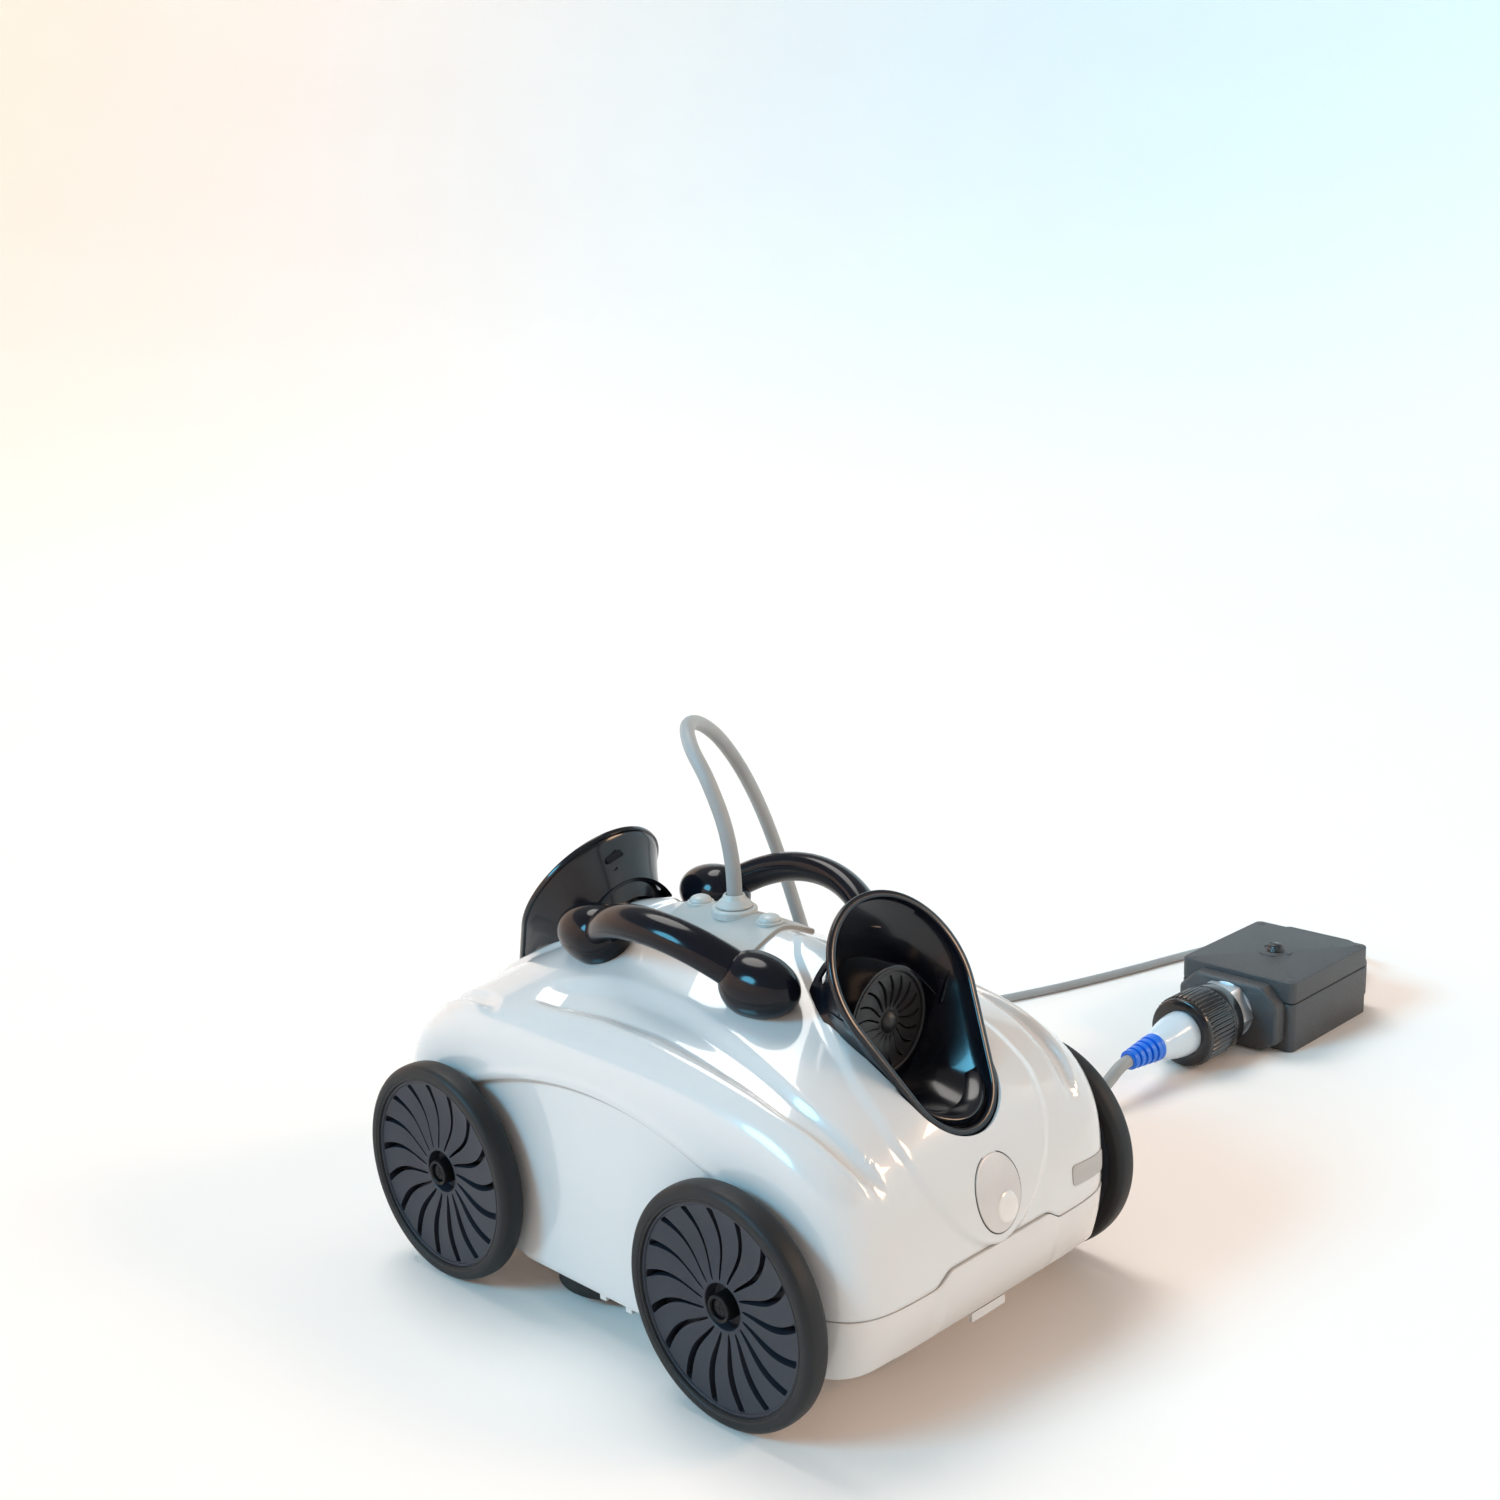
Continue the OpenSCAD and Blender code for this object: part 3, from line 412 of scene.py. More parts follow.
SHELL_LOOK = dict(coat=1.0, coat_rough=0.03, spread=0.012, spread_scale=9, grain=1400, bump=0.01,
                  rough_spread=0.02)
FINISHES = {
    "shell_gloss": ((0.655, 0.645, 0.635), 0.20, SHELL_LOOK),
    "shell_warm": ((0.66, 0.63, 0.605), 0.20, SHELL_LOOK),
    "plate_grey": ((0.40, 0.415, 0.405), 0.45, dict(bump=0.12, coat=0.1)),
    "collar_grey": ((0.50, 0.53, 0.52), 0.38, dict(bump=0.10, coat=0.2)),
    "steel": ((0.62, 0.63, 0.64), 0.30, dict(metal=1.0, grain=2500, bump=0.10)),
    "black_gloss": ((0.005, 0.006, 0.010), 0.18, dict(coat=0.2, bump=0.02, specular=0.35)),
    "black_satin": ((0.012, 0.012, 0.013), 0.42, dict(bump=0.16)),
    "handle_black": ((0.004, 0.005, 0.009), 0.15, dict(coat=0.12, bump=0.02, specular=0.22)),
    "badge_silver": ((0.60, 0.55, 0.52), 0.34, dict(metal=0.25, coat=0.6, grain=3000, bump=0.05)),
    "badge_pearl": ((0.74, 0.70, 0.66), 0.24, dict(metal=0.15, coat=0.8, grain=3000, bump=0.03)),
    "label_grey": ((0.43, 0.41, 0.39), 0.45, dict(grain=2400, bump=0.12, speck=0.25)),
    "motor_grey": ((0.05, 0.05, 0.055), 0.45, dict(bump=0.2)),
    "inner_plastic": ((0.10, 0.10, 0.11), 0.5, dict(bump=0.2)),
    "seal_rubber": ((0.012, 0.012, 0.012), 0.6, dict(bump=0.25, specular=0.35)),
    "filter_blue": ((0.03, 0.11, 0.32), 0.4, dict(bump=0.12)),
    "filter_mesh": ((0.62, 0.66, 0.70), 0.7, dict(grain=1600, bump=0.5, cells=900, cell_bump=0.8)),
    "foam": ((0.80, 0.80, 0.72), 0.85, dict(cells=420, cell_bump=0.7, bump=0.4)),
    "mouth_rubber": ((0.010, 0.011, 0.012), 0.55, dict(bump=0.3, specular=0.35)),
    "screw_black": ((0.006, 0.006, 0.007), 0.42, dict(bump=0.1, specular=0.2)),
    "propeller": ((0.02, 0.02, 0.022), 0.38, dict(bump=0.15, speck=0.15)),
    "tyre": ((0.012, 0.0125, 0.014), 0.50, dict(bump=0.28, spread=0.14, specular=0.32, speck=0.04)),
    "disc_slate": ((0.019, 0.023, 0.034), 0.45, dict(bump=0.22, spread=0.10, specular=0.4, speck=0.05)),
    "cable_grey": ((0.34, 0.35, 0.35), 0.46, dict(grain=1500, bump=0.15, spread=0.08)),
    "relief_blue": ((0.005, 0.16, 0.75), 0.34, dict(bump=0.1, coat=0.25, spread=0.1)),
    "cone_white": ((0.66, 0.76, 0.83), 0.22, dict(coat=0.5, bump=0.03, spread=0.03)),
    "ring_black": ((0.006, 0.006, 0.007), 0.24, dict(bump=0.12, coat=0.35, speck=0.08)),
    "nut_silver": ((0.60, 0.65, 0.70), 0.34, dict(metal=0.85, grain=2200, bump=0.25, spread=0.12)),
    "unit_grey": ((0.058, 0.058, 0.060), 0.48,
                  dict(cells=560, cell_bump=0.55, bump=0.3, spread=0.1, speck=0.1)),
    "knob_black": ((0.004, 0.004, 0.005), 0.28, dict(bump=0.06, coat=0.3)),
    "board_green": ((0.01, 0.09, 0.03), 0.4, dict(bump=0.2, speck=0.5)),
    "gland_grey": ((0.030, 0.030, 0.032), 0.5, dict(bump=0.2)),
    "plug_black": ((0.012, 0.012, 0.013), 0.42, dict(bump=0.2, speck=0.05)),
    # Near-black finish for the thin ring round the badge: painted shade standing in for the shadow of a
    # groove the shell doesn't have.
    "painted_gap_shade": ((0.030, 0.028, 0.026), 0.7, dict(bump=0.1)),
}
LOOKS = {name: material(name, color, rough, **more) for name, (color, rough, more) in FINISHES.items()}


def finish_cad_nodes():
    """Gives each CAD node that stays in view its slot's finish."""
    slots = {part["node"]: part["material_slot"] for part in frame["record"]["subparts"]}
    for node, obj in frame["nodes"].items():
        obj.data.materials.clear()
        obj.data.materials.append(LOOKS[slots[node]])


# ---- cords --------------------------------------------------------------------------
TETHER_D, MAINS_D = 10.8, 8
TETHER_ROUTE = [
    [0, 0, 256], [0, 0, 292], [-1, 6, 324], [-2, 20, 354], [4, 42, 374], [24, 66, 382], [54, 86, 376],
    [86, 100, 358], [116, 110, 330], [142, 117, 296], [164, 122, 258], [182, 124, 216], [197, 123, 172],
    [210, 119, 128], [222, 111, 86], [234, 98, 48], [247, 80, 20], [261, 57, 7], [276, 30, 5.5],
    [294, 4, 5.5], [317, -20, 5.5], [345, -38, 8], [376, -47, 17], [402, -50, 31], [423.5, -50, 33],
]
MAINS_ROUTE = [
    [764, -50, 33], [784, -50, 33], [806, -48, 28], [826, -43, 16], [844, -34, 6], [860, -19, 4], [869, 2, 4],
    [868, 26, 4], [856, 48, 4], [836, 66, 4], [806, 80, 4], [768, 92, 4], [724, 104, 4], [676, 116, 4],
    [626, 130, 4], [576, 146, 4], [528, 164, 4], [482, 184, 4], [438, 202, 4], [398, 213, 4], [360, 216, 4],
    [330, 216, 4], [300, 216, 4],
]
TAIL_ROUTE = [[300, 312, 12], [322, 314, 12], [344, 319, 14], [366, 324, 17]]
COIL_CENTRE = (300, 264)
COIL_RADII = (48, 40)


def coil_path():
    """The coil's turns, clockwise: in along the floor, up a layer, and out again."""
    stops = [
        (0, COIL_RADII[0], MAINS_D / 2), (0.8, COIL_RADII[0], MAINS_D / 2),
        (1.1, COIL_RADII[1], MAINS_D / 2), (1.8, COIL_RADII[1], MAINS_D / 2),
        (2.1, COIL_RADII[1], 1.5 * MAINS_D), (2.8, COIL_RADII[1], 1.5 * MAINS_D),
        (3.1, COIL_RADII[0], 1.5 * MAINS_D), (3.5, COIL_RADII[0], 1.5 * MAINS_D),
    ]
    turns = np.linspace(0, 3.5, 168)[1:-1]
    radii = np.interp(turns, [s[0] for s in stops], [s[1] for s in stops])
    heights = np.interp(turns, [s[0] for s in stops], [s[2] for s in stops])
    angles = -TURN / 4 - TURN * turns
    return np.column_stack([COIL_CENTRE[0] + radii * np.cos(angles), COIL_CENTRE[1] + radii * np.sin(angles),
                            heights])


def make_cords():
    """The tether and the mains lead, each one smooth tube; returns them with their lines."""
    tether_line = smooth_path(TETHER_ROUTE, 8)
    tether = piece("tether", tube(tether_line, TETHER_D / 2, 32, start=(1, 0, 0)), "cable_grey",
                   replaces=["tether_cord"], sharp=60)
    mains_line = np.concatenate([smooth_path(MAINS_ROUTE, 6), coil_path(), smooth_path(TAIL_ROUTE, 6)])
    mains = piece("mains_cable", tube(mains_line, MAINS_D / 2, 20), "cable_grey",
                  replaces=["mains_lead", "mains_coil"], sharp=60)
    return (tether, tether_line), (mains, mains_line)


# ---- the roof's surface ---------------------------------------------------------------
OUTLINE_POWER = 8
EDGE_POWER = 26
CREST_SOFT = 0.08
CREST_DROP = 0.38


def crest(u):
    """The roof's height over its width, 1 along the middle; u is 0 there and 1 at the side."""
    whole = math.sqrt(1 + CREST_SOFT**2) - CREST_SOFT
    return 1 - CREST_DROP * (np.sqrt(u * u + CREST_SOFT**2) - CREST_SOFT) / whole


def plan_half_length(u):
    """Half the body's length at u, seen from above."""
    return HALF_L * np.clip(1 - u**OUTLINE_POWER, 0, 1) ** (1 / OUTLINE_POWER)


def roof_share(u):
    """The roof's ridge height at u, as a share of its rise."""
    return crest(u) * np.clip(1 - u**EDGE_POWER, 0, 1) ** 0.4


def roof_z(x, y):
    """Height of the roof's smooth surface at x, y."""
    u = np.minimum(np.abs(x) / HALF_W, 1)
    v = np.minimum(np.abs(y) / np.maximum(plan_half_length(u), 0.01), 1)
    n = 2.15 + 1.6 * u * u
    return PARTING + RISE * roof_share(u) * np.clip(1 - v**n, 0, 1) ** (1 / n)


def face_y(x, z):
    """How far the front face stands from the centre at x, z."""
    u = np.abs(x) / HALF_W
    n = 2.15 + 1.6 * u * u
    q = np.clip((z - PARTING) / (RISE * roof_share(u)), 0, 1)
    return plan_half_length(u) * (1 - q**n) ** (1 / n)


def plan_rim(angles):
    """Points of the body's outline, seen from above."""
    c, s = np.cos(angles), np.sin(angles)
    reach = (np.abs(c) ** OUTLINE_POWER + np.abs(s) ** OUTLINE_POWER) ** (-1 / OUTLINE_POWER)
    return HALF_W * reach * c, HALF_L * reach * s


def climb_angle(y, z):
    """Degrees round the roof from the nearer end's parting line, past 90 beyond the middle."""
    return np.degrees(np.arctan2(z - PARTING, -y))


# Edges of the raised tongue round the jet, and of the side flutes, by climb angle
TONGUE = ([0, 1, 3, 7, 12, 18, 25, 34, 46, 54, 66, 75], [-8, 0, 24, 44, 59, 70, 76, 72, 56, 41, 20, -8])
FLUTE_OUTER = ([14, 18, 25, 36, 50, 75, 98, 112, 126], [86, 103, 113, 119, 117, 112, 112, 114, 115])
FLUTE_INNER = ([14, 18, 25, 36, 50, 75, 98, 112, 126], [84, 89, 95, 98, 90, 77, 74, 80, 94])
REAR_OUTER = ([14, 18, 25, 36, 50], [86, 103, 113, 119, 124])
REAR_INNER = ([14, 18, 25, 36, 50], [84, 89, 95, 104, 120])


def flute_depth(angle, x, outer, inner, end, depth):
    """Depth of a flute that runs from the face up to the climb angle end."""
    low = soft_table(angle, *outer, 2)
    high = soft_table(angle, *inner, 2)
    across = (x - high) / np.maximum(low - high, 15)
    share = smooth(across / 0.42) * smooth((1 - across) / 0.20)
    lip = np.exp(-(((across - 1.10) / 0.13) ** 2))
    along = smooth((angle - 14) / 13) * smooth((end - angle) / 10)
    return along * (depth * share - 0.22 * depth * lip)


def relief(x, y, z):
    """How far the shell stands proud of the smooth roof."""
    x = np.abs(x)
    front = climb_angle(y, z)
    rear = 180 - front
    near = np.minimum(front, rear)
    tongue = 2.8 * smooth((soft_table(near, *TONGUE, 1.2) - x) / 9)
    flutes = flute_depth(front, x, FLUTE_OUTER, FLUTE_INNER, 127, 5.4)
    flutes += flute_depth(rear, x, REAR_OUTER, REAR_INNER, 47, 4.6)
    return tongue - flutes


ARCH_TOP, ARCH_FALL = 173, 27
PANEL_X, PANEL_END = 141.5, 151
PANEL_FOOT = 28


def arch_z(y):
    """Height of the arch over the side panel."""
    return ARCH_TOP - ARCH_FALL * (y / 130) ** 2


def seam_z(x):
    """Height of the line where the two shells meet, which steps up over the latch."""
    return PARTING + 8 * smooth((66 - np.abs(x)) / 18)


def end_bias(x, y, z):
    """Sampling weight that crowds rings to the arch and to the flute's lip."""
    side = smooth((np.abs(x) - 112) / 14) * smooth((PANEL_END + 14 - np.abs(y)) / 40)
    arch = 3 * side * np.exp(-(((z - arch_z(y)) / 8) ** 2))
    lip = 1.2 * np.exp(-(((np.abs(x) - 112) / 12) ** 2)) * smooth((z - PARTING - 20) / 50)
    return 1 + arch + lip


ROOF_SIDES, ROOF_RINGS = 528, 164


def roof_grid():
    """Points of the shell's outer surface, rings outwards from the crown, and their normals."""
    angles = np.arange(ROOF_SIDES) * TURN / ROOF_SIDES
    rim_x, rim_y = plan_rim(angles)
    spans = np.sin(np.linspace(0, math.pi / 2, 900))
    spans[0] = 0.001
    grid = np.zeros((ROOF_RINGS, ROOF_SIDES, 3))
    for j, (px, py) in enumerate(zip(rim_x, rim_y)):
        x, y = spans * px, spans * py
        z = roof_z(x, y)
        is_side = abs(py) < PANEL_END
        end = PANEL_FOOT + (PARTING - PANEL_FOOT) * smooth((abs(py) - 72) / 79) if is_side else seam_z(px)
        if is_side:
            drop = np.arange(PARTING - 1, end - 1, -1.0)
            x = np.append(x, np.full(len(drop), px))
            y = np.append(y, np.full(len(drop), py))
            z = np.append(z, drop)
        steps = np.sqrt(np.diff(x) ** 2 + np.diff(y) ** 2 + np.diff(z) ** 2) * end_bias(x, y, z)[1:]
        run = np.append(0, np.cumsum(steps))
        last = np.interp(-end, -z, run)
        at = np.linspace(0, last, ROOF_RINGS)
        grid[:, j] = np.column_stack([np.interp(at, run, c) for c in (x, y, z)])
    return grid, roof_normals(grid)


def roof_level(x, y, z):
    """Below 0 inside the roof and its skirt, above 0 outside."""
    u = np.abs(x) / HALF_W
    n = 2.15 + 1.6 * np.minimum(u, 1) ** 2
    plan = (u**OUTLINE_POWER + (np.abs(y) / HALF_L) ** OUTLINE_POWER) ** (1 / OUTLINE_POWER)
    top = RISE * np.maximum(roof_share(np.minimum(u, 0.999)), 0.05)
    climb = np.clip((z - PARTING) / top, 0, None)
    run = np.abs(y) / np.maximum(plan_half_length(np.minimum(u, 0.999)), 1)
    dome = (run**n + climb**n) ** (1 / n)
    return np.where(z > PARTING, np.maximum(dome, plan), plan)


def roof_normals(grid):
    """Outward directions of the smooth roof at the grid's points."""
    shrunk = (grid - [0, 0, PARTING]) * [0.996, 0.996, 0.999] + [0, 0, PARTING]
    slopes = []
    for axis in range(3):
        step = np.zeros(3)
        step[axis] = 0.4
        ahead, behind = shrunk + step, shrunk - step
        slopes.append(roof_level(*np.moveaxis(ahead, 2, 0)) - roof_level(*np.moveaxis(behind, 2, 0)))
    normals = np.stack(slopes, -1)
    skirt = grid[..., 2] < PARTING + 1
    normals[skirt, 2] = 0
    normals[0] = [0, 0, 1]
    return normals / np.maximum(np.linalg.norm(normals, axis=2), 1e-9)[..., None]


def shaped_roof():
    """The roof grid with its tongue, flutes, arch beads and side panels."""
    grid, normals = roof_grid()
    x, y, z = grid[..., 0], grid[..., 1], grid[..., 2]
    rise = relief(x, y, z)
    on_side = smooth((PANEL_END - np.abs(y)) / 5) * (np.abs(x) > 125)
    rise += 0.9 * on_side * np.exp(-(((z - arch_z(y) - 3.5) / 3) ** 2))
    grid = grid + normals * rise[..., None]
    panel = PANEL_X - 4.5 * smooth((z - 92) / 78)
    under = on_side * smooth((arch_z(y) - z) / 4.5)
    step = under * np.maximum(np.abs(grid[..., 0]) - panel, 0)
    grid[..., 0] -= np.sign(x) * step
    tuck = np.zeros(ROOF_RINGS)
    tuck[-1], tuck[-2] = 0.9, 0.15
    return grid - normals * tuck[:, None, None], normals


WALL = 2.6


def shell_solid():
    """The roof as a closed shell of even thickness."""
    outer, normals = shaped_roof()
    keep = np.unique(np.append(np.arange(0, ROOF_RINGS, 6), ROOF_RINGS - 1))
    inner = (outer - normals * WALL)[keep]
    n = ROOF_RINGS * ROOF_SIDES
    m = len(keep) * ROOF_SIDES
    points = np.concatenate([outer.reshape(-1, 3), inner.reshape(-1, 3),
                             [outer[0].mean(0), inner[0].mean(0)]])
    faces = grid_faces(ROOF_RINGS, ROOF_SIDES) + grid_faces(len(keep), ROOF_SIDES, n, flip=True)
    rim, inner_rim = n - ROOF_SIDES, n + m - ROOF_SIDES
    for j in range(ROOF_SIDES):
        k = (j + 1) % ROOF_SIDES
        faces.append([rim + j, rim + k, inner_rim + k, inner_rim + j])
        faces.append([n + m, k, j])
        faces.append([n + m + 1, n + j, n + k])
    return points, faces


# ---- jets --------------------------------------------------------------------------------
MOUTH_LEAN = math.radians(33)
MOUTH = np.array([0, -171, SHAFT_Z])
MOUTH_UP = np.array([0, math.sin(MOUTH_LEAN), math.cos(MOUTH_LEAN)])
MOUTH_OUT = np.array([0, -math.cos(MOUTH_LEAN), math.sin(MOUTH_LEAN)])
JET_SIDES = 160


def mouth_ring(grow, lift):
    """The egg shaped ring of the mouth, grown by grow and lifted out of its plane."""
    big_r, small_r, big_c, small_c = 60 + grow, 39.5 + grow, 36, -29
    tilt = math.asin((big_r - small_r) / (big_c - small_c))
    angles = np.arange(JET_SIDES) * TURN / JET_SIDES
    rim = []
    for a in angles:
        on_big = math.sin(a) > -math.sin(tilt)
        radius, centre = (big_r, big_c) if on_big else (small_r, small_c)
        rim.append([radius * math.cos(a), centre + radius * math.sin(a)])
    rim = np.array(rim)
    run = np.append(0, np.cumsum(np.linalg.norm(np.diff(np.append(rim, rim[:1], 0), axis=0), axis=1)))
    at = np.arange(JET_SIDES) / JET_SIDES * run[-1]
    rim = np.column_stack([np.interp(at, run, np.append(rim[:, i], rim[0, i])) for i in (0, 1)])
    return MOUTH + MOUTH_OUT * lift + rim[:, :1] * [1, 0, 0] + rim[:, 1:] * MOUTH_UP


def throat_ring(radius, y, z=SHAFT_Z):
    """A round ring square to the shaft, at y, with its middle at the height z."""
    angles = np.arange(JET_SIDES) * TURN / JET_SIDES
    return np.column_stack([radius * np.cos(angles), np.full(JET_SIDES, y), z + radius * np.sin(angles)])


THROAT_R, THROAT_Y, THROAT_Z = 38, -104, 214


def blend_rings(first, last, steps, swell=0.0):
    """Rings from first to last, bulging by swell on the way."""
    made = []
    for t in np.linspace(0, 1, steps):
        ring = first * (1 - t) + last * t
        centre = ring.mean(0)
        made.append(centre + (ring - centre) * (1 + swell * math.sin(math.pi * t)))
    return made


def hood_outside(grow=0.0):
    """Rings of the hood's outer skin, from the throat to the mouth."""
    return blend_rings(throat_ring(THROAT_R + grow, THROAT_Y, THROAT_Z), mouth_ring(grow, 0), 14, -0.03)


def nozzle_shape():
    """The hood with its flange, funnel, duct, collar and stiffening ribs."""
    funnel_end = throat_ring(THROAT_R - 3.5, THROAT_Y - 4, THROAT_Z)
    rings = hood_outside()
    rings += [mouth_ring(g, h) for g, h in (
        (0.1, 0.6), (1.7, 0.9), (2.0, 1.5), (2.0, 3.9), (1.7, 4.6), (1.1, 5.0),
        (-2.2, 5.0), (-3.0, 4.7), (-3.4, 3.9), (-3.5, 2),
    )]
    rings += blend_rings(mouth_ring(-3.5, 0), funnel_end, 12, -0.03)
    hood = loft(rings, caps=False)
    hood = joined(hood, loft([funnel_end, throat_ring(THROAT_R - 3.5, THROAT_Y, THROAT_Z)]))
    duct = fillet([(36, -141, 0), (37.8, -141, 0.6), (37.8, -109, 0), (36, -109, 0), (36, -141, 0.6)])
    duct = lathe(duct * [1, -1], 96)
    duct = moved(duct, Matrix.Translation((0, 0, SHAFT_Z)) @ Matrix.Rotation(TURN / 4, 4, "X"))
    return joined(hood, duct, collar_shape(), shelf_shape(), *jet_ribs(), *boss_shapes())


def collar_front(z):
    """Where the slanted collar's front edge lies at the height z."""
    return np.minimum(-150 + 1.19 * (z - SHAFT_Z), -112)


def collar_shape():
    """The slanted collar round the guard."""
    rings = []
    for radius, back in ((48, 0), (48, 1), (47.6, 1.4), (46, 1.4), (45.6, 1), (45.6, 0)):
        ring = throat_ring(radius, 0)
        front = collar_front(ring[:, 2]) + 0.8 * (1 - back)
        ring[:, 1] = front if back else np.minimum(front + 11, -108)
        rings.append(ring)
    return loft(rings + rings[:1], caps=False)


def bar_between(start, end, depth, thick):
    """A thin plate in the mouth from start to end, (x, up, lift) points of the mouth's plane."""
    corners = []
    for x, up, lift in (start, end):
        corners.append(MOUTH + MOUTH_OUT * lift + np.array([x, 0, 0]) + MOUTH_UP * up)
    along = corners[1] - corners[0]
    side = np.cross(along / np.linalg.norm(along), MOUTH_OUT) * thick / 2
    down = -MOUTH_OUT * depth
    rings = []
    for corner in corners:
        rings.append([corner - side, corner + side, corner + side + down, corner - side + down])
    return loft(rings)


def shelf_shape():
    """The shelf between the collar's front edge and the hood's wall, open over the guard."""
    wall = mouth_ring(-3.2, -5)
    rows = []
    for degrees in np.linspace(-202, 22, 90):
        angle = math.radians(degrees)
        inner = np.array([48.5 * math.cos(angle), 0, SHAFT_Z + 48.5 * math.sin(angle)])
        inner[1] = collar_front(inner[2])
        towards = np.array([math.cos(angle), 1.15 * math.sin(angle)])
        flat = np.column_stack([wall[:, 0], (wall - MOUTH) @ MOUTH_UP])
        flat /= np.linalg.norm(flat, axis=1)[:, None]
        outer = wall[int(np.argmax(flat @ (towards / np.linalg.norm(towards))))]
        rows.append([
            inner, inner * 0.7 + outer * 0.3 - [0, 0.6, 0], inner * 0.35 + outer * 0.65 - [0, 0.4, 0], outer,
            outer + [0, 2.2, 0], inner * 0.5 + outer * 0.5 + [0, 2.4, 0], inner + [0, 2.4, 0],
        ])
    return loft(rows)


def jet_ribs():
    """The shelf's upper edges, and small ribs under the hood's crown."""
    return [
        bar_between((55, 33, -5), (44, 14, -17), 3, 1.8),
        bar_between((-55, 33, -5), (-44, 14, -17), 3, 1.8),
        bar_between((4, 90, -9), (16, 84, -9), 5, 2.0),
        bar_between((8, 80, -14), (19, 75, -14), 4, 1.8),
    ]


def boss_shapes():
    """The small screw boss beside the guard."""
    boss = spun([(0, 0, 0), (3.4, 0, 0.8), (3.4, -26, 0), (0, -26, 0)], 24)
    slot = spun([(0, 1.2, 0), (1.7, 1.2, 0.4), (1.7, -1, 0)], 16)
    angle = math.radians(-42)
    place = Matrix.Translation((42.6 * math.cos(angle), -140, SHAFT_Z + 42.6 * math.sin(angle)))
    place = place @ Matrix.Rotation(TURN / 4, 4, "X")
    return moved(boss, place), moved(slot, place)


def slotted_disc(hub_r, slot_in, slot_out, rim_r, face, sway, widths, twist, sides):
    """A disc about +Z with swept slots. face gives z at a radius; twist lifts one edge of each blade."""
    radii = np.unique(np.concatenate([
        np.linspace(hub_r, slot_in - 0.05, 4), [slot_in],
        np.linspace(slot_in + 0.6, slot_out - 0.6, 26), [slot_out],
        np.linspace(slot_out + 0.05, rim_r, 5),
    ]))
    shapes = []
    for k in range(SLOTS):
        rows = []
        for r in radii:
            t = np.clip((r - slot_in) / (slot_out - slot_in), 0, 1)
            inside = slot_in < r < slot_out
            half = (widths[0] + (widths[1] - widths[0]) * t) / 2 * min(1, 10 * t + 0.4) if inside else 0
            middle = TURN * k / SLOTS - sway * math.sin(math.pi * t) * (1 - 0.25 * t)
            edges = middle + half / r, middle + TURN / SLOTS - half / r
            lift = twist * math.sin(math.pi * t)
            row = []
            for s in np.linspace(0, 1, sides + 1):
                a = edges[0] * (1 - s) + edges[1] * s
                row.append([r * math.cos(a), r * math.sin(a), face(r) + lift * (s - 0.5)])
            rows.append(row)
        shapes.append(sheet(rows, wrap=False))
    return joined(*shapes)


def solidify(obj, thickness, sharp=30):
    """Gives an open piece a thickness in millimetres, behind its face."""
    modifier = obj.modifiers.new("thick", "SOLIDIFY")
    modifier.thickness = thickness * MM
    modifier.offset = -1
    apply_modifiers(obj, sharp)


def guard_shape():
    """The guard's slotted disc, about +Z."""
    return slotted_disc(7, 9.5, 31.5, 35.5, lambda r: 1.2 - 0.0009 * r * r, math.radians(9),
                        (1.1, 1.9), 1.3, 8)


def guard_trim():
    """The guard's rim ring and domed hub, about +Z."""
    rim = spun([(33.6, 0.4, 0), (33.9, 2.3, 0.7), (35.9, 2.3, 0.7), (36, -2, 0), (33.6, -2, 0)], 128)
    hub = spun([(0, 5.6, 0), (3.5, 5.3, 2), (6.2, 3.4, 2), (7.8, 1.6, 1), (7.8, -2, 0), (0, -2, 0)], 48)
    return joined(rim, hub)


def make_jets():
    """Both jets, the rear one turned half round."""
    for tag, spin in (("front", 0), ("rear", 180)):
        piece(f"{tag}_jet_hood", turned(nozzle_shape(), spin, "Z"), "black_gloss",
              replaces=[f"{tag}_nozzle"], sharp=38)
        place = Matrix.Rotation(math.radians(spin), 4, "Z") @ Matrix.Translation((0, -139.5, SHAFT_Z))
        place = place @ Matrix.Rotation(TURN / 4, 4, "X")
        guard = piece(f"{tag}_jet_guard", moved(guard_shape(), place), "black_satin",
                      replaces=[f"{tag}_guard"], sharp=30)
        solidify(guard, 2.2)
        piece(f"{tag}_guard_rim", moved(guard_trim(), place), "black_satin", sharp=30)


# ---- shells ----------------------------------------------------------------------------------
def jet_cutter(spin):
    """What the front jet takes out of the shell, turned by spin."""
    rings = hood_outside(0.7) + [mouth_ring(2.9, 0.2), mouth_ring(2.9, 40)]
    return turned(loft(rings), spin, "Z")


def make_roof():
    """The glossy roof with the holes for both hoods."""
    shell = piece("roof_shell", shell_solid(), "shell_gloss", replaces=["upper_shell"], sharp=40)
    cut(shell, jet_cutter(0), 40)
    cut(shell, jet_cutter(180), 40)


BUMPER_PROFILE = [(0.952, 49.0), (0.962, 47.6), (0.967, 47.2), (0.9705, 47.6), (0.9725, 48.6), (0.979, 53),
                  (0.987, 59),
                  (0.994, 66), (0.998, 74), (1.0, 80), (1.0, 83)]


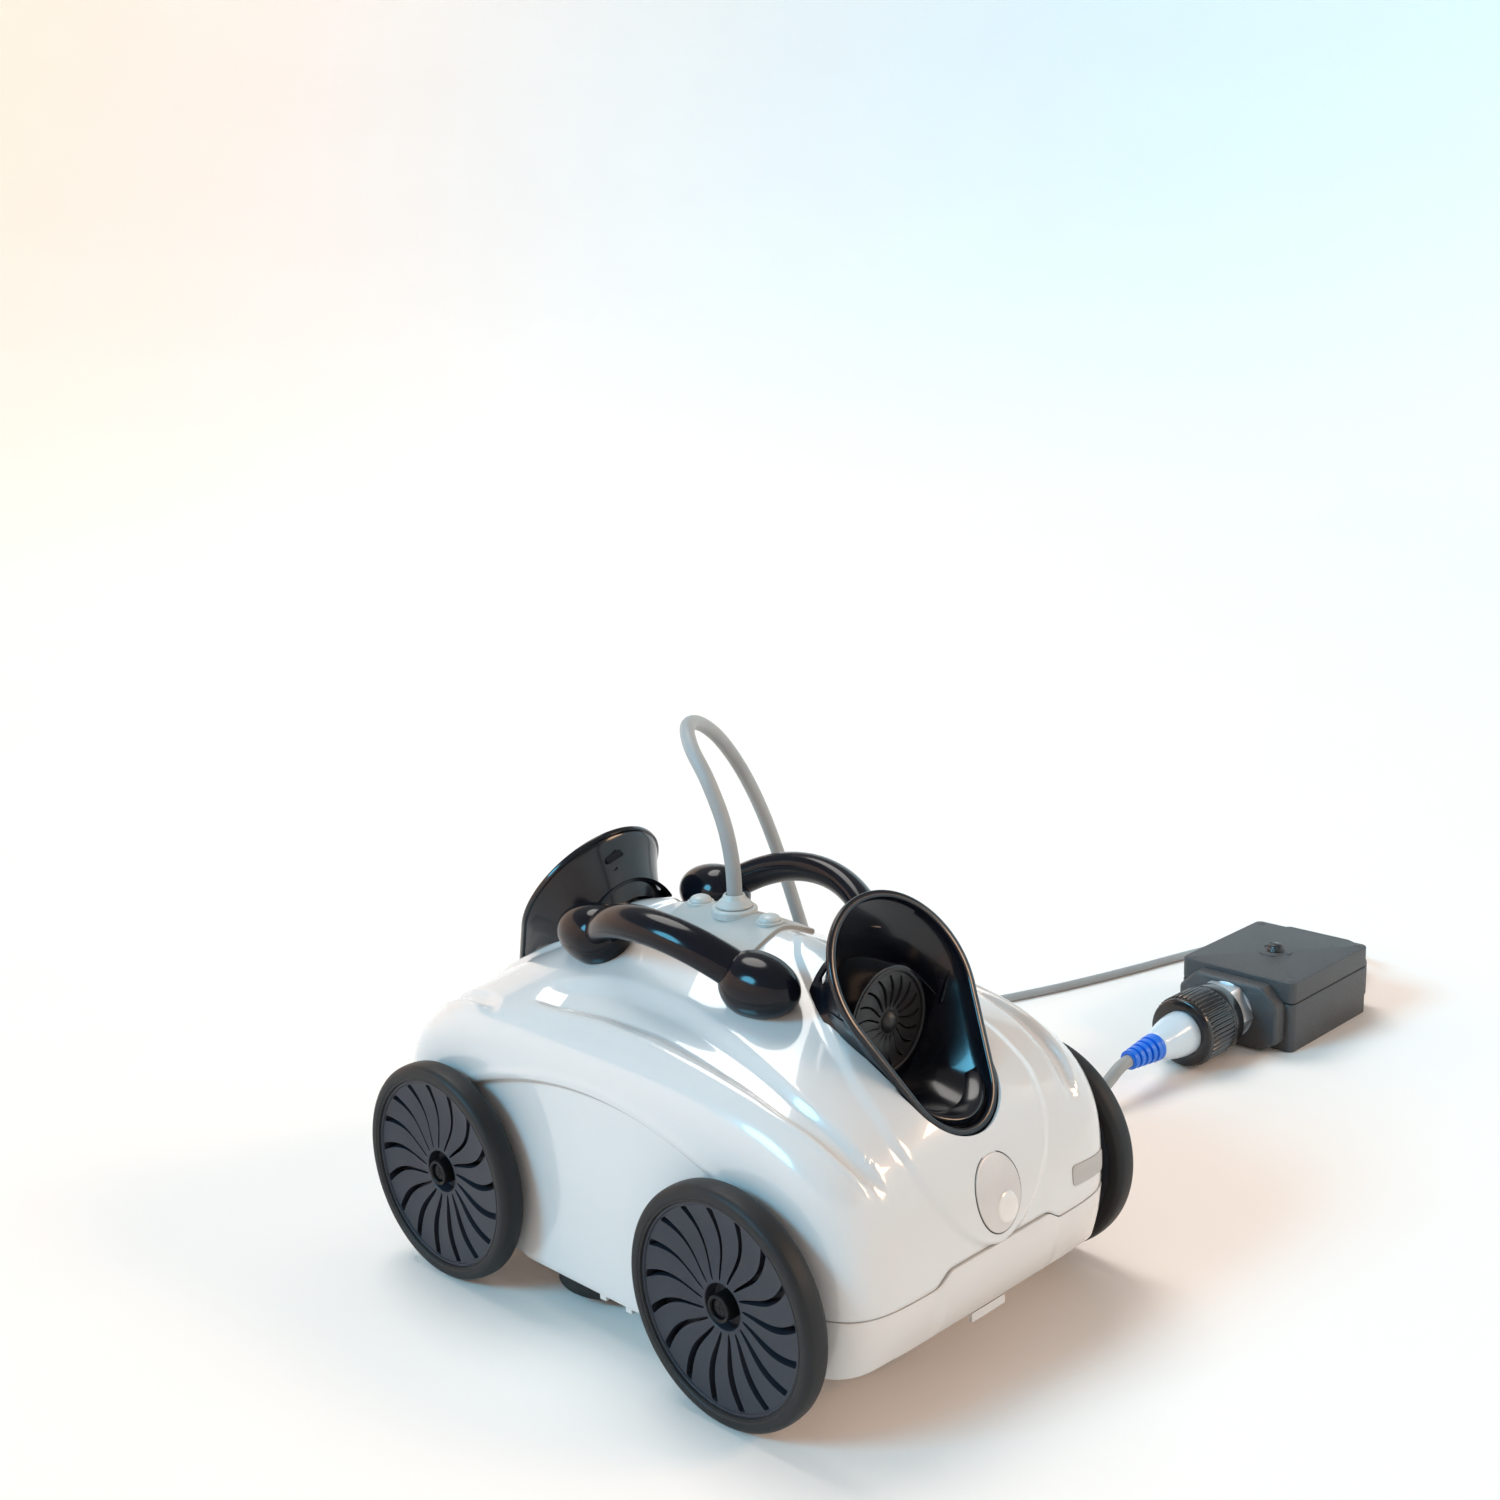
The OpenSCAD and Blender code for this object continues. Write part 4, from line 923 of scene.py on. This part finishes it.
def bumper_shape():
    """The front bumper: a bowed skin under the parting line with a rolled lower edge."""
    angles = np.radians(np.linspace(-144.5, -35.5, 181))
    px, py = plan_rim(angles)
    top = seam_z(px) - 0.45
    rows = [np.column_stack([px * 0.93, np.full(len(px), -177), np.full(len(px), 49.5)])]
    for share, z in BUMPER_PROFILE:
        droop = 5 * smooth((np.abs(px) - 95) / 45) * smooth((66 - z) / 20)
        rows.append(np.column_stack([px * (0.65 + 0.35 * share), py * share, z - droop]))
    rows[-1][:, 2] = top - 0.8
    rows.append(np.column_stack([px - 0.1 * np.sign(px), py + 0.2, top - 0.2]))
    rows.append(np.column_stack([px * 0.996, py + 0.9, top]))
    rows.append(np.column_stack([px * 0.985, py + 3.2, top - 0.1]))
    rows.append(np.column_stack([px * 0.985, py + 3.4, top - 12]))
    grid = np.array(rows)
    latch = smooth((66 - np.abs(grid[..., 0])) / 12) * (grid[..., 2] > 46.5)
    grid[..., 1] -= 1.3 * latch * smooth((grid[..., 2] - 47) / 10)
    return sheet(grid, wrap=False)


def make_bumpers():
    """Both bumpers, each with two lugs under its latch."""
    for tag, spin in (("front", 0), ("rear", 180)):
        piece(f"{tag}_bumper", turned(bumper_shape(), spin, "Z"), "shell_warm",
              replaces=["bumpers"], sharp=50)
        lugs = [shifted(block(4, 8.4, 36.5, 47, 1.2, 0.4), x, -207) for x in (-22, 22)]
        piece(f"{tag}_latch_lugs", turned(joined(*lugs), spin, "Z"), "shell_warm")


# ---- trim laid on the shell ------------------------------------------------------------------
def laid_patch(outline, place, height, edge, rings=10, foot=-1.2):
    """A thin patch with its outline in a plane, laid where place(points, height) says."""
    centre = (outline.max(0) + outline.min(0)) / 2
    rows = [place(centre + (outline - centre) * max(t, 0.002), height) for t in np.linspace(0, 1, rings)[:-1]]
    span = (outline.max(0) - outline.min(0)).min() / 2
    for t in np.linspace(0, 1, 5):
        bend = math.pi / 2 * t
        share = 1 - edge * (1 - math.sin(bend)) / span
        rows.append(place(centre + (outline - centre) * share, height - edge * (1 - math.cos(bend))))
    rows.append(place(outline, foot))
    return sheet(rows)


def on_roof(points, height):
    """Points at a height above the smooth roof, from x and y."""
    x, y = points[:, 0], points[:, 1]
    return np.column_stack([x, y, roof_z(x, y) + height])


def on_face(points, height):
    """On the front face, from x and z, above the shell's own relief."""
    x, z = points[:, 0], points[:, 1]
    y = -face_y(x, z)
    proud = height + relief(x, y, z)
    return np.column_stack([x, y - proud, z])


def dense(outline, step):
    """The outline with points no further than step apart."""
    made = []
    for a, b in zip(outline, np.roll(outline, -1, 0)):
        count = max(1, math.ceil(np.linalg.norm(b - a) / step))
        made += [a + (b - a) * k / count for k in range(count)]
    return np.array(made)


def egg_outline(cx, cz, half_w, half_h, pull, count=96):
    """An oval that pull makes narrower at its top."""
    angles = np.arange(count) * TURN / count
    return np.column_stack([cx + half_w * np.cos(angles) * (1 - pull * np.sin(angles)),
                            cz + half_h * np.sin(angles)])


BADGE_Z = 124


def make_trim():
    """The top plate, the badge with its button, and the blank label."""
    plate = rounded_rect(70, 92, 5, 8)
    piece("swivel_plate", laid_patch(dense(plate, 4), on_roof, 2.8, 0.5, 18), "plate_grey",
          replaces=["top_plate"], sharp=40)
    badge = egg_outline(0, BADGE_Z, 21.5, 25, -0.05)
    # A thin near-black ring laid round the badge: painted shade in place of the shadow in a groove that the
    # shell isn't cut with.
    piece("badge_painted_shade_ring", laid_patch(egg_outline(0, BADGE_Z, 22.3, 25.8, -0.05), on_face, 0.25, 0.1),
          "badge_silver", look="painted_gap_shade")
    piece("badge_inlay", laid_patch(badge, on_face, 1.0, 0.8, 14), "badge_silver",
          replaces=["badge"])
    button = []
    outline = egg_outline(5.5, BADGE_Z - 10.5, 10.5, 10.5, 0.0, 64)
    centre = outline.mean(0)
    for t in np.linspace(1, 0.02, 12):
        button.append(on_face(centre + (outline - centre) * t,
                              0.95 + 1.7 * math.sqrt(1 - t * t) - 0.25 * (t > 0.99)))
    piece("badge_button", sheet(button), "badge_pearl", replaces=["badge_stud"])
    label = rounded_rect(43, 14.5, 3.4, 6) + [100, 105]
    label[:, 1] -= 0.08 * (label[:, 0] - 100)
    piece("blank_label", laid_patch(dense(label, 2), on_face, 0.8, 0.4, 8), "label_grey",
          replaces=["label_plate"])


def make_swivel():
    """Plate screws, the swivel's foot and its collar."""
    foot_z = box_mm("swivel_base")[1][2] - 2
    screws = []
    for y in (-34, 34):
        head = spun([(0, 5, 0), (3.2, 4.8, 1.5), (6.6, 3.4, 1.5), (8, 1.4, 0.8), (8, -2.5, 0),
                     (0, -2.5, 0)], 48)
        rim = spun([(8.1, 0.3, 0), (9.6, 0.3, 0.3), (9.6, -2.5, 0), (8.1, -2.5, 0)], 48)
        screws += [shifted(joined(head, rim), 0, y, float(roof_z(0, y)) + 3)]
    piece("plate_screw_caps", joined(*screws), "collar_grey", replaces=["plate_screws"])
    foot = spun([(7, 2, 0), (15.2, 2, 0.8), (16.4, 0.9, 0.8), (16.4, -4, 0), (7, -4, 0), (7, 2, 0)], 96)
    piece("swivel_foot", shifted(foot, z=foot_z), "collar_grey", replaces=["swivel_base"])
    low = box_mm("swivel_collar")[0][2]
    collar = spun([(5.9, 0, 0), (12.8, 0, 0.4), (13.2, 1.2, 0.6), (11.4, 3.2, 1.5), (8.6, 5.8, 1.5),
                   (7.6, 8.2, 1), (6.8, 9, 0.5), (5.9, 8.6, 0.3), (5.9, 0, 0)], 96)
    piece("swivel_cap", shifted(collar, z=low), "collar_grey", body="swivel",
          replaces=["swivel_collar"])


# ---- handles ----------------------------------------------------------------------------------
HANDLE_X, HANDLE_Y, HANDLE_Z = 60, 77, 245
HANDLE_RISE = 37
HANDLE_LEAN = math.radians(38)
FOOT_R, FOOT_SHORT, FOOT_LONG = 22.3, 25, 37


def handle_shape():
    """A leaning arch with an egg shaped foot at each end."""
    radius = (HANDLE_Y**2 + HANDLE_RISE**2) / (2 * HANDLE_RISE)
    reach = math.asin(HANDLE_Y / radius)
    angles = np.linspace(-reach, reach, 64)
    lift = radius * np.cos(angles) - (radius - HANDLE_RISE)
    path = np.column_stack([
        HANDLE_X + lift * math.sin(HANDLE_LEAN),
        radius * np.sin(angles),
        HANDLE_Z + lift * math.cos(HANDLE_LEAN),
    ])
    across = (math.cos(HANDLE_LEAN), 0, -math.sin(HANDLE_LEAN))
    arch = tube(path, 13.2, 48, flat=10.2 / 13.2, start=across)
    feet = []
    for side in (-1, 1):
        profile = []
        for t in np.linspace(-math.pi / 2, math.pi / 2, 40):
            long = FOOT_LONG if t > 0 else FOOT_SHORT
            groove = 0.4 * math.exp(-(((long * math.sin(t) - 22) / 0.6) ** 2))
            profile.append([(FOOT_R - groove) * math.cos(t), long * math.sin(t)])
        foot = turned(lathe(profile, 72), -90 * side, "X")
        feet.append(shifted(foot, HANDLE_X, side * HANDLE_Y, HANDLE_Z))
    return joined(arch, *feet)


def make_handles():
    """The right grip and its mirror image."""
    right = handle_shape()
    piece("right_grip", right, "handle_black", replaces=["right_handle"], sharp=60)
    piece("left_grip", mirrored(right), "handle_black", replaces=["left_handle"], sharp=60)


# ---- wheels ------------------------------------------------------------------------------------
def tyre_shape():
    """The tyre about +Z, outer face up."""
    width = TRACK - TYRE_IN
    profile = fillet([
        (DISC_R, 0.6, 0), (DISC_R + 1, 0, 0.5), (WHEEL_R - 3.5, 0, 1.5), (WHEEL_R - 0.6, 3.4, 2.5),
        (WHEEL_R, width * 0.5, 6), (WHEEL_R - 0.8, width - 3.2, 2.8), (WHEEL_R - 4.0, width, 2.2),
        (DISC_R + 2.9, width - 0.25, 0.8),
        (DISC_R + 1.9, width - 1.2, 0.5), (DISC_R + 0.6, width - 0.6, 0.5), (DISC_R, width - 2.2, 0.6),
        (DISC_R, 0.6, 0),
    ], 6)
    return lathe(profile, 224)


DISH = 3.2
FACE_DROP = 3.2


def wheel_face(r):
    """Height of the disc's face below the tyre's outer face."""
    return -FACE_DROP - DISH * (1 - ((r - 16) / (DISC_R - 16)) ** 2) * (1 if r < DISC_R else 0)


def hub_shape():
    """The rim band, the inner barrel, the recess round the hub and a dark plate behind the slots as painted
    shade, outer face at z = 0.
    """
    width = TRACK - TYRE_IN
    hub_z = wheel_face(16.2)
    band = spun([(DISC_R, -2.4, 0), (DISC_R - 1.6, -2.2, 0.6), (DISC_R - 2.4, -4.2, 0.5), (DISC_R - 3, -9, 0),
                 (DISC_R - 3, -width + 1.2, 0), (DISC_R, -width + 1.2, 0), (DISC_R, -2.4, 0)], 192)
    well = spun([(16.6, hub_z - 0.6, 0), (16.0, hub_z + 0.3, 0.4), (15.2, hub_z - 0.4, 0.4),
                 (14.6, hub_z - 9, 1), (6.3, hub_z - 9, 0), (6.3, -width + 1, 0), (15, -width + 1, 0),
                 (16.6, -width + 1.6, 0), (16.6, hub_z - 0.6, 0)], 96)
    # A plate behind the disc in the dark disc finish: painted shade that closes the open slots so they show
    # dark instead of what lies behind them.
    back = lathe([(15, -width + 1.4), (DISC_R - 3, -width + 1.4), (DISC_R - 3, -width + 2.8),
                  (15, -width + 2.8)], 96, True)
    return joined(band, well, back)


def axle_end_shape():
    """The fixed axle's end: a tube and the head of its screw inside, outer face at z = 0."""
    tube_end = spun([(6.6, -14, 0), (6.6, -3.2, 0.3), (7.4, -2.4, 0.4), (8.8, -2.4, 0.6), (9.2, -3.4, 0.5),
                     (9.2, -14, 0), (6.6, -14, 0)], 64)
    head = spun([(0, -3.9, 0), (4.2, -4.1, 0.5), (6.3, -4.8, 0.3), (6.3, -5.2, 0), (0, -5.2, 0)], 48)
    slots = []
    for angle in (0, 90):
        slots.append(turned(block(1.1, 6.4, -4.4, -3.7, 0.2, 0.1), angle, "Z"))
    return tube_end, joined(head, *slots)


WHEELS = [("front_left", -1, -1), ("front_right", 1, -1), ("rear_left", -1, 1), ("rear_right", 1, 1)]


def wheel_place(sx, sy):
    """Takes +Z to the wheel's outward axle direction, with the outer face's middle as origin."""
    return Matrix.Translation((sx * TRACK, sy * AXLE_Y, WHEEL_R)) @ Matrix.Rotation(sx * TURN / 4, 4, "Y")


def make_wheels():
    """Four wheels on their bodies, and the axle ends that stay with the chassis."""
    width = TRACK - TYRE_IN
    tube_end, screw = axle_end_shape()
    ends, screws = [], []
    for tag, sx, sy in WHEELS:
        place = wheel_place(sx, sy)
        body = f"wheel_{tag}"
        piece(f"{body}_tyre", moved(shifted(tyre_shape(), z=-width), place), "tyre", body=body,
              replaces=[f"tyre_{tag}"], sharp=45)
        face = slotted_disc(16.2, 17.2, 66.0, DISC_R - 0.8, wheel_face, math.radians(8.5),
                            (1.6, 5.4), 1.2, 10)
        start = Matrix.Rotation(math.radians(5), 4, "Z")
        disc = piece(f"{body}_disc", moved(face, place @ start), "disc_slate", body=body,
                     replaces=[f"disc_{tag}"], sharp=35)
        solidify(disc, 10.0, 35)
        piece(f"{body}_hub", moved(hub_shape(), place), "disc_slate", body=body, sharp=35)
        ends.append(moved(tube_end, place))
        screws.append(moved(screw, place))
    piece("axle_ends", joined(*ends), "screw_black", replaces=["wheel_screws"], sharp=35)
    piece("axle_end_screws", joined(*screws), "screw_black", sharp=35)


# ---- plug and power unit -------------------------------------------------------------------------
RELIEF_L, CONE_L = 40, 42
RING_X0, RING_X1 = ring_low[0], ring_high[0]
LID_Z = lid_low[2]
UNIT_H = lid_high[2]
UNIT_L = lid_high[0] - lid_low[0] + 0.6
UNIT_W = lid_high[1] - lid_low[1]
CORNERS = [(i, j) for i in (-1, 1) for j in (-1, 1)]


def along_unit(shape, x):
    """Lays a shape made about +Z along the plug's axis, its z = 0 at x."""
    return moved(shape, Matrix.Translation((x, UNIT[1], CORD_Z)) @ Matrix.Rotation(TURN / 4, 4, "Y"))


def relief_shape():
    """The ribbed strain relief: half rings with gaps between, thinner towards the cord."""
    parts = [spun([(5.5, 0, 0), (7.0, 0, 0.6), (8.4, RELIEF_L, 0), (5.5, RELIEF_L, 0)], 48)]
    pitch, ribs = 7.6, 5
    for k in range(ribs):
        z0 = 1.2 + k * pitch
        outer = 8.6 + 3.2 * k / (ribs - 1)
        parts.append(spun([(5.6, z0, 0), (outer - 0.1, z0, 0.7), (outer + 0.25, z0 + 5.2, 0.7),
                           (5.6, z0 + 5.2, 0)], 64))
        if k < ribs - 1:
            bridge = block(outer * 1.75, 3.6, z0 + 4, z0 + pitch + 1.4, 1, 0.3)
            parts.append(turned(bridge, 90 * (k % 2), "Z"))
    z0, z1 = RELIEF_L - 3, RELIEF_L + 0.6
    parts.append(spun([(5.6, z0, 0), (12.1, z0, 0.8), (12.3, z1, 0.5), (5.6, z1, 0)], 64))
    return joined(*parts)


def cone_shape():
    """The white plug body, swelling to the ring."""
    line = [[0, 0.3], [11.4, 0.3], [12.0, 0.9]]
    for t in np.linspace(0.04, 1, 22):
        line.append([12 + 8 * math.sin(t * math.pi / 2) ** 1.15, CONE_L * t])
    line += [[20.0, CONE_L + 7], [0, CONE_L + 7]]
    return lathe(line, 96)


def ring_shape():
    """The coupling ring: fine ribs between plain collars, with one deeper index groove."""
    length = RING_X1 - RING_X0
    ribs, per_rib, groove = 48, 8, 1.5
    stations = [
        (0, 20.6, 0), (0, RING_R - 3.2, 0), (0.6, RING_R - 2.0, 0), (1.6, RING_R - 1.5, 0),
        (4.2, RING_R - 1.5, 0), (4.8, RING_R - 0.9, 0.5), (5.6, RING_R, 1),
        (length - 17, RING_R, 1), (length - 16.2, RING_R - 0.8, 0.5),
        (length - 15.4, RING_R - 1.6, 0), (length - 13, RING_R - 1.6, 0), (length - 12.4, RING_R - 1.0, 0),
        (length - 1.6, RING_R - 1.0, 0), (length - 0.5, RING_R - 1.6, 0), (length, RING_R - 2.6, 0),
        (length, 24.5, 0),
    ]

    def radius(ring, side):
        """A station's radius, less the groove between two ribs."""
        phase = (side % per_rib) / per_rib
        dip = groove * float(smooth((abs(phase - 0.5) - 0.14) / 0.16))
        return stations[ring][1] - stations[ring][2] * dip

    return sheet(rings_about_z([s[0] for s in stations], ribs * per_rib, radius))


def hexagon(heights, shares, flat, corner, sides):
    """A hexagon prism with chamfered ends, from half its width over flats and its corners' radius."""
    def radius(ring, side):
        """The flat's distance at this side, kept within the chamfer."""
        angle = (TURN * side / sides + TURN / 12) % (TURN / 6) - TURN / 12
        return min(flat / math.cos(angle), corner * shares[ring])

    return loft(rings_about_z(heights, sides, radius))


def nut_shape():
    """The hexagon nut with its thread and washer, about +Z from the ring towards the case."""
    body = hexagon((0, 1.2, 2.2, 15.8, 16.8, 18), (0.93, 0.985, 1.0, 1.0, 0.985, 0.93), 25.2, 29, 120)
    thread = [(17.6, -28, 0), (23.6, -28, 0.8), (23.6, -18, 0)]
    for k in range(8):
        thread += [(23.8, -17.6 + 2 * k, 0.3), (22.6, -16.6 + 2 * k, 0.3)]
    thread += [(23.0, -0.5, 0), (26.8, -0.5, 0.5), (26.8, 1, 0), (17.6, 1, 0)]
    washer = spun([(0, 17.5, 0), (26.6, 17.5, 0.4), (26.6, 19.5, 0.4), (0, 19.5, 0)], 64)
    return joined(body, spun(thread, 96, 3), washer)


def chamfered_frame(x0, x1, half_w, z0, z1, chamfer, edge):
    """The eight sided end frame of the case, from x0 to x1."""
    rings = []
    stations = (
        (x0, -edge), (x0 + edge * 0.4, -edge * 0.35), (x0 + edge, 0),
        (x1 - edge, 0), (x1 - edge * 0.4, -edge * 0.35), (x1, -edge),
    )
    for x, grow in stations:
        w, low, high, c = half_w + grow, z0 - min(grow, 0) * 0.4, z1 + grow, chamfer
        corners = [(-w + c, low), (w - c, low), (w, low + c * 0.6), (w, high - c),
                   (w - c, high), (-w + c, high), (-w, high - c), (-w, low + c * 0.6)]
        ring = []
        for (y_a, z_a), (y_b, z_b) in zip(corners, corners[1:] + corners[:1]):
            for t in (0.06, 0.35, 0.65, 0.94):
                ring.append([x, y_a + (y_b - y_a) * t, z_a + (z_b - z_a) * t])
        rings.append(ring)
    return loft(rings)


def make_plug():
    """The tether's plug with its coupling ring, and the socket's nut on the case."""
    piece("strain_relief", along_unit(relief_shape(), RING_X0 - CONE_L - RELIEF_L), "relief_blue",
          replaces=["plug_relief"])
    piece("plug_body", along_unit(cone_shape(), RING_X0 - CONE_L), "cone_white", replaces=["plug_cone"],
          sharp=40)
    piece("screw_ring", along_unit(ring_shape(), RING_X0), "ring_black", body="plug_ring",
          replaces=["coupling_ring"], sharp=40)
    face_x = UNIT[0] - UNIT_L / 2 - 16
    piece("hex_nut", along_unit(nut_shape(), face_x - 18.6), "nut_silver", replaces=["socket_nut"], sharp=25)


def make_case():
    """The case's tub with a frame at each end and four feet."""
    base = shifted(block(UNIT_L, UNIT_W, 0.2, LID_Z - 0.5, 6, 1.2), *UNIT)
    frames = []
    for side in (-1, 1):
        ends = sorted((UNIT[0] + side * (UNIT_L / 2 - 1), UNIT[0] + side * (UNIT_L / 2 + 15.8)))
        frames.append(shifted(chamfered_frame(*ends, UNIT_W / 2 - 8, 1.5, UNIT_H - 4.5, 16, 2.2), y=UNIT[1]))
    foot = spun([(0, 0, 0), (6, 0, 0.4), (6.4, 2, 0), (0, 2, 0)], 32)
    feet = [shifted(foot, UNIT[0] + i * 55, UNIT[1] + j * 44) for i, j in CORNERS]
    piece("unit_case", joined(base, *frames, *feet), "unit_grey", replaces=["unit_base"], sharp=28)


def make_cover():
    """The case's lid with its corner posts, the knob's well and the raised arcs round it."""
    top = shifted(block(UNIT_L - 0.4, UNIT_W, LID_Z + 0.1, UNIT_H, 6, 1.6), *UNIT)
    post = spun([(0, 0.3, 0), (3.1, 0.3, 0.3), (3.6, -0.6, 0), (0, -0.6, 0)], 32)
    posts = [shifted(post, UNIT[0] + i * 61, UNIT[1] + j * 50, UNIT_H) for i, j in CORNERS]
    arcs = []
    for start, span, radius in ((20, 50, 15), (150, 60, 16), (255, 30, 15)):
        line = []
        for a in np.radians(np.linspace(start, start + span, 14)):
            line.append([UNIT[0] + radius * math.cos(a), UNIT[1] + radius * math.sin(a), UNIT_H + 0.1])
        arcs.append(tube(line, 0.9, 10))
    well = spun([(4.6, -2, 0), (4.6, 0.2, 0), (9.6, 0.7, 0.6), (11.5, -0.3, 0.4), (11.5, -2, 0)], 64)
    well = shifted(well, UNIT[0], UNIT[1], UNIT_H)
    piece("unit_cover", joined(top, well, *posts, *arcs), "unit_grey", replaces=["unit_lid"], sharp=28)


def make_knob():
    """The timer's knob, grooved round its side, with a raised pointer."""
    profile = [[0, 7], [4.2, 6.9], [5.6, 6.3], [6.4, 5.2], [7.4, 2.4], [8, 0.9], [7.6, 0.3], [4, 0.2],
               [4, -4], [0, -4]]

    def radius(ring, side):
        """The profile's radius, less a groove at every fourth point of the side."""
        r, z = profile[ring]
        return max(r - 0.45 * (side % 4 == 0) * (1 < z < 6.5), 0)

    knob = sheet(rings_about_z([z for _, z in profile], 96, radius))
    pointer = shifted(block(1.4, 6, 6.4, 7.25, 0.6, 0.2), y=3.2)
    piece("timer_dial", shifted(joined(knob, pointer), UNIT[0], UNIT[1], knob_low[2] + 6.3), "knob_black",
          body="timer_knob", replaces=["unit_knob"], sharp=40)


def make_gland():
    """The mains lead's gland with its own strain relief."""
    nut = hexagon((0, 1, 7, 8), (0.94, 1, 1, 0.94), 11.2, 12.4, 72)
    bands = [lathe([(4.05, 8), (7.6, 8), (5.0, 38), (4.05, 38)], 48)]
    for k in range(5):
        z0, r = 9.5 + 5.6 * k, 8.2 - 0.62 * k
        bands.append(spun([(4.1, z0, 0), (r, z0, 0.6), (r - 0.3, z0 + 3.4, 0.6), (4.1, z0 + 3.4, 0)], 48))
    piece("cable_gland", along_unit(joined(nut, *bands), UNIT[0] + UNIT_L / 2 + 15.5), "gland_grey",
          replaces=["mains_gland"])


def make_tie():
    """The strap that holds the coil's turns together."""
    x0 = COIL_CENTRE[0] - (COIL_RADII[0] + COIL_RADII[1]) / 2
    strap = []
    for a in np.linspace(0, TURN, 49):
        square = abs(math.cos(a)) ** -0.45 if abs(math.cos(a)) > 0.2 else 1
        strap.append([x0 + 9.3 * math.cos(a) * square, COIL_CENTRE[1], 8.6 + 8.3 * math.sin(a)])
    piece("cable_tie", tube(strap, 0.55, 10, flat=4.5, start=(1, 0, 0)), "knob_black", replaces=["coil_tie"])


def make_mains_plug():
    """The mains plug at the lead's end, with its grip rings and two pins."""
    tip = np.array(TAIL_ROUTE[-1], float)
    place = Matrix.Translation(tip) @ Matrix.Rotation(math.radians(9), 4, "Z")
    place = place @ Matrix.Rotation(TURN / 4, 4, "Y")
    body = spun([(4.05, -1, 0), (5.4, -1, 0.5), (6.2, 2, 0.5), (8.6, 20, 2), (15.4, 24, 4), (17, 30, 3),
                 (16.2, 40, 3), (16.9, 52, 3), (16.2, 55.9, 0.8), (0, 55.9, 0)], 96, 7)
    grips = []
    for z in (32, 36, 40):
        grips.append(spun([(15, z, 0), (17.0, z, 0.5), (17.0, z + 2, 0.5), (15, z + 2, 0)], 96))
    piece("mains_plug_body", moved(joined(body, *grips), place), "plug_black", replaces=["mains_plug"])
    pin = spun([(0, 74.9, 0), (1.6, 74.7, 0.6), (2.4, 73, 0.6), (2.4, 66, 0), (2.25, 65.6, 0),
                (2.25, 55.5, 0),
                (0, 55.5, 0)], 32)
    pins = joined(*(shifted(pin, y=y) for y in (-9.5, 9.5)))
    piece("mains_plug_pins", moved(pins, place), "steel", replaces=["plug_pins"])


# ---- stage -----------------------------------------------------------------------------------------
def make_stage():
    """A pale floor that curves up all round, and soft light: cool from the left, warm from the front."""
    profile = [(0, 0), (1.5, 0), (3.2, 0)]
    for t in np.linspace(0.1, 1, 10):
        profile.append((3.2 + 3.4 * math.sin(t * TURN / 4), 3.4 * (1 - math.cos(t * TURN / 4))))
    points, faces = lathe(profile, 96)
    mesh = bpy.data.meshes.new("floor")
    mesh.from_pydata(points.tolist(), [], faces)
    mesh.shade_smooth()
    floor = bpy.data.objects.new("floor", mesh)
    floor.data.materials.append(
        material("floor", (1.0, 0.91, 0.85), 0.65, spread=0.01, spread_scale=3, bump=0.01))
    bpy.context.scene.collection.objects.link(floor)
    world = bpy.data.worlds.new("studio")
    bpy.context.scene.world = world
    world.use_nodes = True
    background = world.node_tree.nodes["Background"]
    background.inputs["Color"].default_value = (1.0, 0.985, 0.97, 1)
    background.inputs["Strength"].default_value = 0.34
    bpy.context.scene.view_settings.view_transform = "Standard"
    suns = [
        ("cool_left", (-1.0, 0.35, 0.66), 2.5, 22, (0.17, 0.67, 1.0)),
        ("warm_front", (0.75, -1.0, 0.55), 2.7, 26, (1.0, 0.65, 0.42)),
        ("top", (0.15, 0.50, 1.0), 1.30, 30, (1.0, 0.97, 0.93)),
    ]
    for name, place, power, spread, color in suns:
        data = bpy.data.lights.new(name, "SUN")
        data.energy = power
        data.angle = math.radians(spread)
        data.color = color
        light = bpy.data.objects.new(name, data)
        light.rotation_mode = "QUATERNION"
        light.rotation_quaternion = Vector(place).to_track_quat("Z", "Y")
        bpy.context.scene.collection.objects.link(light)


make_camera()
tether, mains = make_cords()
finish_cad_nodes()
make_roof()
make_bumpers()
make_jets()
make_trim()
make_swivel()
make_handles()
make_wheels()
make_plug()
make_case()
make_cover()
make_knob()
make_gland()
make_tie()
make_mains_plug()
make_stage()
PLUG_PIECES = ["strain_relief", "plug_body", "screw_ring"]
MAINS_PIECES = ["cable_gland", "cable_tie", "mains_plug_body", "mains_plug_pins"]
for (cord, line), diameter, end, lay, extras in (
    (tether, TETHER_D, "connector", "loose", PLUG_PIECES),
    (mains, MAINS_D, "plug", "coiled", MAINS_PIECES),
):
    path_length(line) * MM
    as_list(extras)
